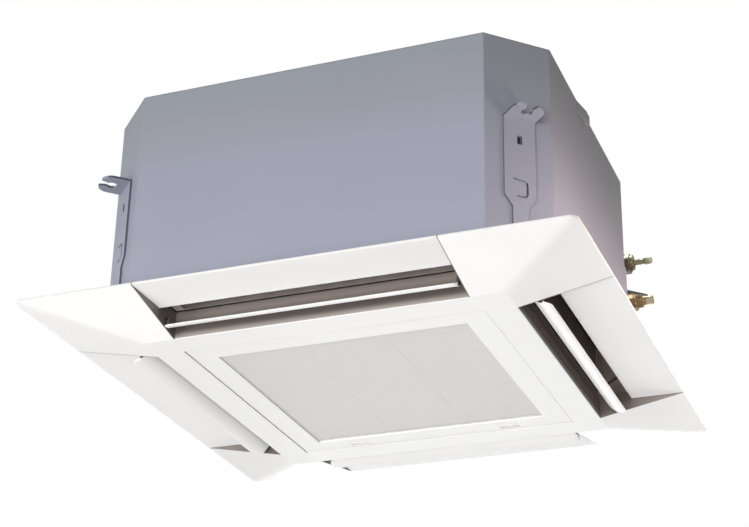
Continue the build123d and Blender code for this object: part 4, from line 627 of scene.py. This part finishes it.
class CASSETTE_OT_louvre(bpy.types.Operator):
    """Makes the suction grille's louvre: lipped slats, two ribs and a rim"""

    bl_idname = "cassette.louvre"
    bl_label = "Grille louvre"

    def execute(self, context):
        sizes = context.scene.cassette_sizes
        skins = [self.slats(sizes), self.rim()]
        pitch = (LOUVRE_HIGH[0] - LOUVRE_LOW[0]) / 3
        skins += [self.rib(sign * pitch / 2) for sign in (-1, 1)]
        piece("louvre_slats", skins, "grille", "grille_louvre", 50.0)
        return {"FINISHED"}

    @staticmethod
    def slats(sizes):
        """Middle line of a section: it runs level for the lip, then its angle rises smoothly to 55 degrees
        and stays there; sums of cos and sin of that angle give its points. The wall is half its thickness
        to each side, tapering at both tips. The section is carried along X, and repeated along Y."""
        low, high = LOUVRE_LOW, LOUVRE_HIGH
        half = (high[0] - low[0]) / 2 - 0.0012
        run = np.linspace(0, 1, 26)
        length = sizes.slat_lip + 0.0098
        blend = np.clip((run * length - sizes.slat_lip) / 0.0022, 0, 1)
        lean = radians(55) * blend**2 * (3 - 2 * blend)
        step = length / 25
        y = np.concatenate([[0], np.cumsum(np.cos(lean[:-1]) * step)])
        z = np.concatenate([[0], np.cumsum(np.sin(lean[:-1]) * step)])
        z = np.minimum(z, high[2] - low[2] - 0.0015)
        tip = np.clip(np.minimum(run, 1 - run) * length / 0.0006, 0, 1)
        wall = sizes.slat_wall / 2 * np.sqrt(0.15 + 0.85 * (1 - (1 - tip) ** 2))
        side_y, side_z = -np.sin(lean) * wall, np.cos(lean) * wall
        ring_y = np.concatenate([y + side_y, (y - side_y)[::-1]])
        ring_z = np.concatenate([z + side_z, (z - side_z)[::-1]])
        pitch = (high[1] - low[1]) / (sizes.slat_count + 1)
        start = low[1] + pitch * (0.45 + np.arange(sizes.slat_count))
        x = np.array([-half, half])
        grid = np.empty((sizes.slat_count, 2, ring_y.size, 3))
        grid[..., 0] = x[None, :, None]
        grid[..., 1] = start[:, None, None] + ring_y
        grid[..., 2] = low[2] + 0.0009 + ring_z
        return skin(capped(grid))

    @staticmethod
    def bar_section(width, height):
        """A rectangle whose corners are rounded: a superellipse of power 8."""
        turn = np.arange(32) * 2 * np.pi / 32
        wave = np.stack([np.cos(turn), np.sin(turn)])
        return np.sign(wave) * np.abs(wave) ** 0.25 * np.array([[width / 2], [height / 2]])

    @classmethod
    def rib(cls, x):
        """A rounded bar section carried along Y."""
        across, up = cls.bar_section(0.0028, LOUVRE_HIGH[2] - LOUVRE_LOW[2] - 0.0004)
        y = np.array([LOUVRE_LOW[1] + 0.001, LOUVRE_HIGH[1] - 0.001])[:, None]
        middle = (LOUVRE_LOW[2] + LOUVRE_HIGH[2]) / 2
        rings = np.stack(np.broadcast_arrays(x + across, y, middle + up), axis=-1)
        return skin(capped(rings))

    @classmethod
    def rim(cls):
        """A rounded bar section carried round a square, mitred at its four corners and closed on itself."""
        across, up = cls.bar_section(0.0028, LOUVRE_HIGH[2] - LOUVRE_LOW[2] - 0.0002)
        half = (LOUVRE_HIGH[0] - LOUVRE_LOW[0]) / 2 - 0.0014
        corner = np.array([(-1, -1), (1, -1), (1, 1), (-1, 1), (-1, -1)])[:, None, :]
        flat = corner * (half + across)[None, :, None]
        height = np.broadcast_to((LOUVRE_LOW[2] + LOUVRE_HIGH[2]) / 2 + up, flat.shape[:2])
        return skin(np.concatenate([flat, height[..., None]], axis=-1))


class CASSETTE_OT_filter_net(bpy.types.Operator):
    """Weaves the filter's net of crossing strands"""

    bl_idname = "cassette.filter_net"
    bl_label = "Filter net"

    def execute(self, context):
        sizes = context.scene.cassette_sizes
        low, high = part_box("filter_mesh")
        half = (high[0] - low[0]) / 2 - sizes.net_strand
        count = int(2 * half / sizes.net_pitch) // 2 * 2 + 1
        level = (low[2] + high[2]) / 2
        skins = [self.strands(way, half, count, level, sizes.net_strand) for way in (0, 1)]
        piece("filter_net", skins, "filter", "filter_mesh", 180.0)
        return {"FINISHED"}

    @staticmethod
    def strands(way, half, count, level, radius):
        """Strand k rides at height radius times 0.9 cos(pi (station + k + way)), so it goes over one crossing
        strand and under the next; its section is a four-cornered ring."""
        crossing = np.linspace(-half, half, count)
        station = np.arange(2 * count - 1) / 2
        along = np.linspace(-half, half, 2 * count - 1)
        strand = np.arange(count)[:, None]
        wave = 0.9 * radius * np.cos(np.pi * (station[None, :] + strand + way))
        turn = np.arange(4) * np.pi / 2
        flat = crossing[:, None, None] + radius * np.cos(turn)
        up = level + wave[..., None] + radius * 0.8 * np.sin(turn)
        grid = np.empty(wave.shape + (4, 3))
        grid[..., way] = flat
        grid[..., 1 - way] = along[None, :, None]
        grid[..., 2] = up
        return skin(capped(grid))


class CASSETTE_OT_fan_blades(bpy.types.Operator):
    """Makes the fan's seven swept blades"""

    bl_idname = "cassette.fan_blades"
    bl_label = "Fan blades"

    def execute(self, context):
        """Plan: the arc through three points, at 106, 132.5 and 159 mm from the axis and 0, 10.8 and 30 degrees
        round it. The thickness follows sqrt(u) (1 - u), greatest a third of the way out. Rows run from the
        shroud's cone to the hub plate, and lower rows are turned back a little."""
        thickness = context.scene.cassette_sizes.blade_thickness
        radius = np.array([0.106, 0.1325, 0.159])
        angle = np.radians([0.0, 10.8, 30.0])
        a, b, c = (radius * np.exp(1j * angle)).tolist()
        w = (c - a) / (b - a)
        centre = (b - a) * (w - abs(w) ** 2) / (2j * w.imag) + a
        first, last = np.angle(a - centre), np.angle(c - centre)
        sweep = (last - first + np.pi) % (2 * np.pi) - np.pi
        u = (1 - np.cos(np.linspace(0, np.pi, 21))) / 2
        line = centre + abs(a - centre) * np.exp(1j * (first + sweep * u))
        wall = thickness * (1.3 * np.sqrt(u) * (1 - u) + 0.12 * np.sqrt(np.clip(u * (1 - u), 0, 1)))
        normal = (line - centre) / abs(line - centre)
        ring = np.concatenate([line + normal * wall / 2, (line - normal * wall / 2)[::-1][1:-1]])
        reach = np.abs(ring)
        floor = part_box("fan_shroud")[0][2]
        roof = floor + 0.144
        low = floor + np.where(reach > 0.127, 0.013 + (reach - 0.127) * 0.64, 0.013)
        rise = np.linspace(0, 1, 9)[:, None]
        height = low + (roof - low) * rise
        plan = ring * np.exp(1j * np.radians(-3.0) * (1 - rise) ** 2)
        turn = np.exp(2j * np.pi * np.arange(7) / 7)[:, None, None]
        place = plan * turn
        grid = np.stack([place.real, place.imag, np.broadcast_to(height, place.shape)], axis=-1)
        piece("fan_blade_set", [skin(capped(grid))], "fan", "fan_blades", 40.0)
        return {"FINISHED"}


class CASSETTE_OT_fittings(bpy.types.Operator):
    """Makes the two union nuts and the knurled cap on the pipes"""

    bl_idname = "cassette.fittings"
    bl_label = "Pipe fittings"

    def execute(self, context):
        self.nut("liquid_union", "liquid_flare_nut")
        self.nut("gas_union", "gas_flare_nut")
        self.cap(context.scene.cassette_sizes.knurls)
        return {"FINISHED"}

    @staticmethod
    def nut(name, node):
        """Radius: the lesser of a hexagon's, half across over cos of the angle to the nearest flat, and a
        cone's, which rises 1.7 times the distance from either end of the hexagon. A round shoulder follows,
        drawn in by a quarter circle at its end."""
        low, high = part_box(node)
        middle = ((low[1] + high[1]) / 2, (low[2] + high[2]) / 2)
        flat = (high[2] - low[2]) / 2
        length = high[0] - low[0]
        columns = 96
        angle = np.arange(columns) * 2 * np.pi / columns
        hexagon = flat / np.cos((angle + np.pi / 6) % (np.pi / 3) - np.pi / 6)
        body = np.linspace(0, 0.7 * length, 15)
        near_end = np.minimum(body, 0.7 * length - body)[:, None]
        radius = np.minimum(hexagon, flat * 0.97 + 1.7 * near_end)
        curve = np.linspace(0, np.pi / 2, 7)
        shoulder = 0.84 * flat - 0.0012 * (1 - np.cos(curve))
        neck = np.concatenate([[0.7 * length], length - 0.0012 * (1 - np.sin(curve))])
        stations = low[0] + np.concatenate([body, neck])
        rest = np.broadcast_to(np.concatenate([[0.84 * flat], shoulder])[:, None], (8, columns))
        rings = turned(stations, np.ones(len(stations)), middle, np.concatenate([radius, rest]))
        piece(name, [rings], "unit", node, 22.0)

    @staticmethod
    def cap(knurls):
        """Radius by place along the axis: a slim sleeve, a swelling neck, a knurled band whose radius goes up
        and down by 4 percent of cos(knurls times angle), and a domed end."""
        low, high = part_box("liquid_pipe_cap")
        middle = ((low[1] + high[1]) / 2, (low[2] + high[2]) / 2)
        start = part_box("liquid_flare_nut")[1][0] - 0.0005
        end = high[0]
        place = np.array([0.0, 0.05, 0.45, 0.50, 0.55, 0.60, 0.62, 0.70, 0.80, 0.88, 0.92, 0.96, 0.985, 1.0])
        radii = np.array([4.1, 4.2, 4.0, 3.9, 4.1, 4.7, 5.0, 5.0, 5.0, 5.0, 4.9, 4.2, 3.0, 1.2]) / 1000
        band = ((place >= 0.62) & (place <= 0.88)).astype(float)[:, None]
        angle = np.arange(8 * knurls) * 2 * np.pi / (8 * knurls)
        teeth = 1 - 0.04 * band * (0.5 + 0.5 * np.cos(knurls * angle))
        rings = turned(start + (end - start) * place, radii, middle, teeth)
        piece("pipe_cap", [rings], "unit", "liquid_pipe_cap", 40.0)


class CASSETTE_OT_screws(bpy.types.Operator):
    """Makes the panel's four screws with crossed recesses and threads"""

    bl_idname = "cassette.screws"
    bl_label = "Panel screws"

    def execute(self, context):
        """Head: a dome 1.1 mm high by height 1 - (r / head) squared, less a crossed recess 1.2 mm deep in the
        middle that fades out along each arm. Shank: radius 2.25 mm plus 0.25 cos(angle - 2 pi z / 1.5)."""
        low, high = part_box("panel_screws")
        spots = [(sx * (high[0] - 0.0045), sy * (high[1] - 0.0045)) for sx in (-1, 1) for sy in (-1, 1)]
        columns = 64
        angle = np.arange(columns) * 2 * np.pi / columns
        reach = np.linspace(0.0, 0.0042, 15)[:, None]
        x, y = reach * np.cos(angle), reach * np.sin(angle)
        arm = np.minimum(np.abs(x), np.abs(y))
        cross = np.clip((0.0006 - arm) / 0.00025, 0, 1) * np.clip((0.0028 - reach) / 0.0012, 0, 1)
        dome = low[2] + 0.0011 * (reach / 0.0042) ** 2 + 0.0012 * cross
        head = np.stack([x, y, np.broadcast_to(dome, x.shape)], axis=-1)
        rise = np.linspace(low[2] + 0.0031, high[2] - 0.002, 60)[:, None]
        radius = 0.00225 + 0.00025 * np.cos(angle - 2 * np.pi * rise / 0.0015)
        level = np.broadcast_to(rise, radius.shape)
        shank = np.stack([radius * np.cos(angle), radius * np.sin(angle), level], axis=-1)
        edge = np.array([(0.0045, 0.0016), (0.0044, 0.0029), (0.0026, 0.003)])
        level = low[2] + np.repeat(edge[:, 1:], columns, 1)
        rim = np.stack([edge[:, :1] * np.cos(angle), edge[:, :1] * np.sin(angle), level], axis=-1)
        tip = np.array([[[0.0, 0.0, high[2]]]]) + np.zeros((1, columns, 3))
        one = np.concatenate([head, rim, shank, tip])
        shift = np.array([(sx, sy, 0.0) for sx, sy in spots])[:, None, None, :]
        piece("panel_screw_set", [skin(one + shift)], "unit", "panel_screws", 40.0)
        return {"FINISHED"}


# ---------------------------------------------------------------- stage

# name: place, what it faces, width and height, strength in watts, colour
LAMPS = {
    "front_left": ((-1.9, -2.6, -1.1), (0.0, 0.0, -0.10), (1.6, 1.6), 44.0, (1.0, 1.0, 1.0)),
    "front": ((0.36, -3.1, -0.9), (0.0, 0.0, -0.10), (1.6, 1.6), 53.0, (1.0, 1.0, 1.0)),
    "right_bounce": ((0.47, 0.02, -0.166), (0.29, 0.02, -0.145), (0.7, 0.04), 1.1, (1.0, 0.80, 0.70)),
    "under": ((-0.45, -0.5, -3.1), (0.0, 0.0, -0.20), (1.8, 1.8), 50.0, (1.0, 1.0, 1.0)),
    "back": ((-0.3, 2.8, -0.3), (0.0, 0.0, -0.10), (2.2, 2.2), 38.0, (0.98, 0.99, 1.0)),
    "above": ((-0.25, 0.25, 3.2), (0.0, 0.0, 0.0), (0.9, 0.9), 95.0, (1.0, 1.0, 1.0)),
}
WORLD_STRENGTH = 0.07


class CASSETTE_OT_stage(bpy.types.Operator):
    """Sets up the pale floor, the white backdrop, the soft lamps and the camera"""

    bl_idname = "cassette.stage"
    bl_label = "Stage"

    def execute(self, context):
        context.scene.view_settings.view_transform = "Standard"
        for name, facts in LAMPS.items():
            self.lamp(context, name, *facts)
        self.backdrop(context.scene)
        self.floor(context)
        self.camera(context)
        return {"FINISHED"}

    @staticmethod
    def lamp(context, name, place, target, size, energy, colour):
        light = bpy.data.lights.new(name, "AREA")
        light.shape = "RECTANGLE"
        light.size, light.size_y = size
        light.energy = energy
        light.color = colour
        made = bpy.data.objects.new(name, light)
        made.visible_camera = False
        context.scene.collection.objects.link(made)
        aim = (Vector(target) - Vector(place)).to_track_quat("-Z", "Y")
        made.matrix_world = Matrix.Translation(place) @ aim.to_matrix().to_4x4()

    @staticmethod
    def backdrop(scene):
        """White where the camera, a reflection or glass sees it, and softer as light on the object."""
        scene.world = bpy.data.worlds.new("studio")
        sky = Tree(scene.world)
        paths = sky.node("ShaderNodeLightPath").socket.node.outputs
        seen = Wire(sky, paths["Is Camera Ray"]).most(Wire(sky, paths["Is Transmission Ray"]))
        seen = seen.most(Wire(sky, paths["Is Glossy Ray"]))
        kind = "ShaderNodeBackground"
        light = sky.node(kind, values={"Color": (0.98, 0.99, 1.0, 1.0), "Strength": WORLD_STRENGTH})
        white = sky.node(kind, values={"Color": (1.0, 1.0, 1.0, 1.0), "Strength": 1.0})
        both = sky.node("ShaderNodeMixShader", values={0: seen, 1: light, 2: white})
        sky.node("ShaderNodeOutputWorld", values={"Surface": both})

    @staticmethod
    def floor(context):
        """A flat pale floor, five metres down; to the camera alone it also glows, so that it looks as pale
        from above as it would in a lit studio, and throws no extra light up at the object."""
        line = np.linspace(-FLOOR_HALF, FLOOR_HALF, 5)
        grid = np.stack(np.meshgrid(line, line), axis=-1)
        points = np.concatenate([grid, np.full(grid.shape[:2] + (1,), FLOOR_DEPTH)], axis=-1)
        mesh = bpy.data.meshes.new("floor")
        corners, faces = skin(points, turn=False)
        mesh.from_pydata(corners, [], faces)
        ground = bpy.data.objects.new("floor", mesh)
        context.scene.collection.objects.link(ground)
        look = Finish("pale_floor")
        place = look.place()[0]
        cloud = look.noise(place, 0.6, 2.0)
        base = look.mix(cloud.rise(0.3, 0.7), rgb(246, 246, 246), rgb(250, 250, 250))
        surface = look.node("ShaderNodeBsdfPrincipled", values={"Base Color": base, "Roughness": 0.9})
        glow = look.node("ShaderNodeEmission", values={"Color": base, "Strength": 1.0})
        seen = look.node("ShaderNodeLightPath", output=0)
        both = look.node("ShaderNodeMixShader", values={0: seen * FLOOR_GLOW, 1: surface, 2: glow})
        look.node("ShaderNodeOutputMaterial", values={"Surface": both})
        mesh.materials.append(look.material)

    @staticmethod
    def camera(context):
        """The photograph's camera: a 36 mm sensor, its place and its axes."""
        lens = bpy.data.cameras.new("photo_camera")
        lens.sensor_width = 36.0
        lens.lens = 84.66
        lens.clip_start = 0.05
        lens.clip_end = 100.0
        made = bpy.data.objects.new("photo_camera", lens)
        context.scene.collection.objects.link(made)
        right = Vector((0.93323242, 0.35880755, 0.01828646))
        down = Vector((-0.14086941, 0.41226466, -0.90010758))
        forward = Vector((-0.33050425, 0.83743357, 0.43528375))
        turn = Matrix((right, -down, -forward)).transposed().to_4x4()
        made.matrix_world = Matrix.Translation((0.7655, -1.99356, CEILING - 0.87768)) @ turn
        context.scene.camera = made


# ---------------------------------------------------------------- the add-on

OPERATORS = (
    CASSETTE_OT_finishes,
    CASSETTE_OT_flaps,
    CASSETTE_OT_louvre,
    CASSETTE_OT_filter_net,
    CASSETTE_OT_fan_blades,
    CASSETTE_OT_fittings,
    CASSETTE_OT_screws,
    CASSETTE_OT_stage,
)


class CASSETTE_PT_sidebar(bpy.types.Panel):
    """The cassette's settings and operators"""

    bl_label = "Ceiling cassette"
    bl_idname = "CASSETTE_PT_sidebar"
    bl_space_type = "VIEW_3D"
    bl_region_type = "UI"
    bl_category = "Cassette"

    def draw(self, context):
        for group in (context.scene.cassette_sizes, context.scene.cassette_colours):
            box = self.layout.box()
            for name in type(group).__annotations__:
                box.prop(group, name)
        for operator in OPERATORS:
            self.layout.operator(operator.bl_idname)


CLASSES = (CassetteSizes, CassetteColours, *OPERATORS, CASSETTE_PT_sidebar)


def register():
    for kind in CLASSES:
        bpy.utils.register_class(kind)
    bpy.types.Scene.cassette_sizes = PointerProperty(type=CassetteSizes)
    bpy.types.Scene.cassette_colours = PointerProperty(type=CassetteColours)


def unregister():
    del bpy.types.Scene.cassette_colours
    del bpy.types.Scene.cassette_sizes
    for kind in reversed(CLASSES):
        bpy.utils.unregister_class(kind)


def main():
    register()
    bpy.ops.cassette.finishes()
    bpy.ops.cassette.flaps()
    bpy.ops.cassette.louvre()
    bpy.ops.cassette.filter_net()
    bpy.ops.cassette.fan_blades()
    bpy.ops.cassette.fittings()
    bpy.ops.cassette.screws()
    bpy.ops.cassette.stage()


if __name__ == "__main__":
    main()
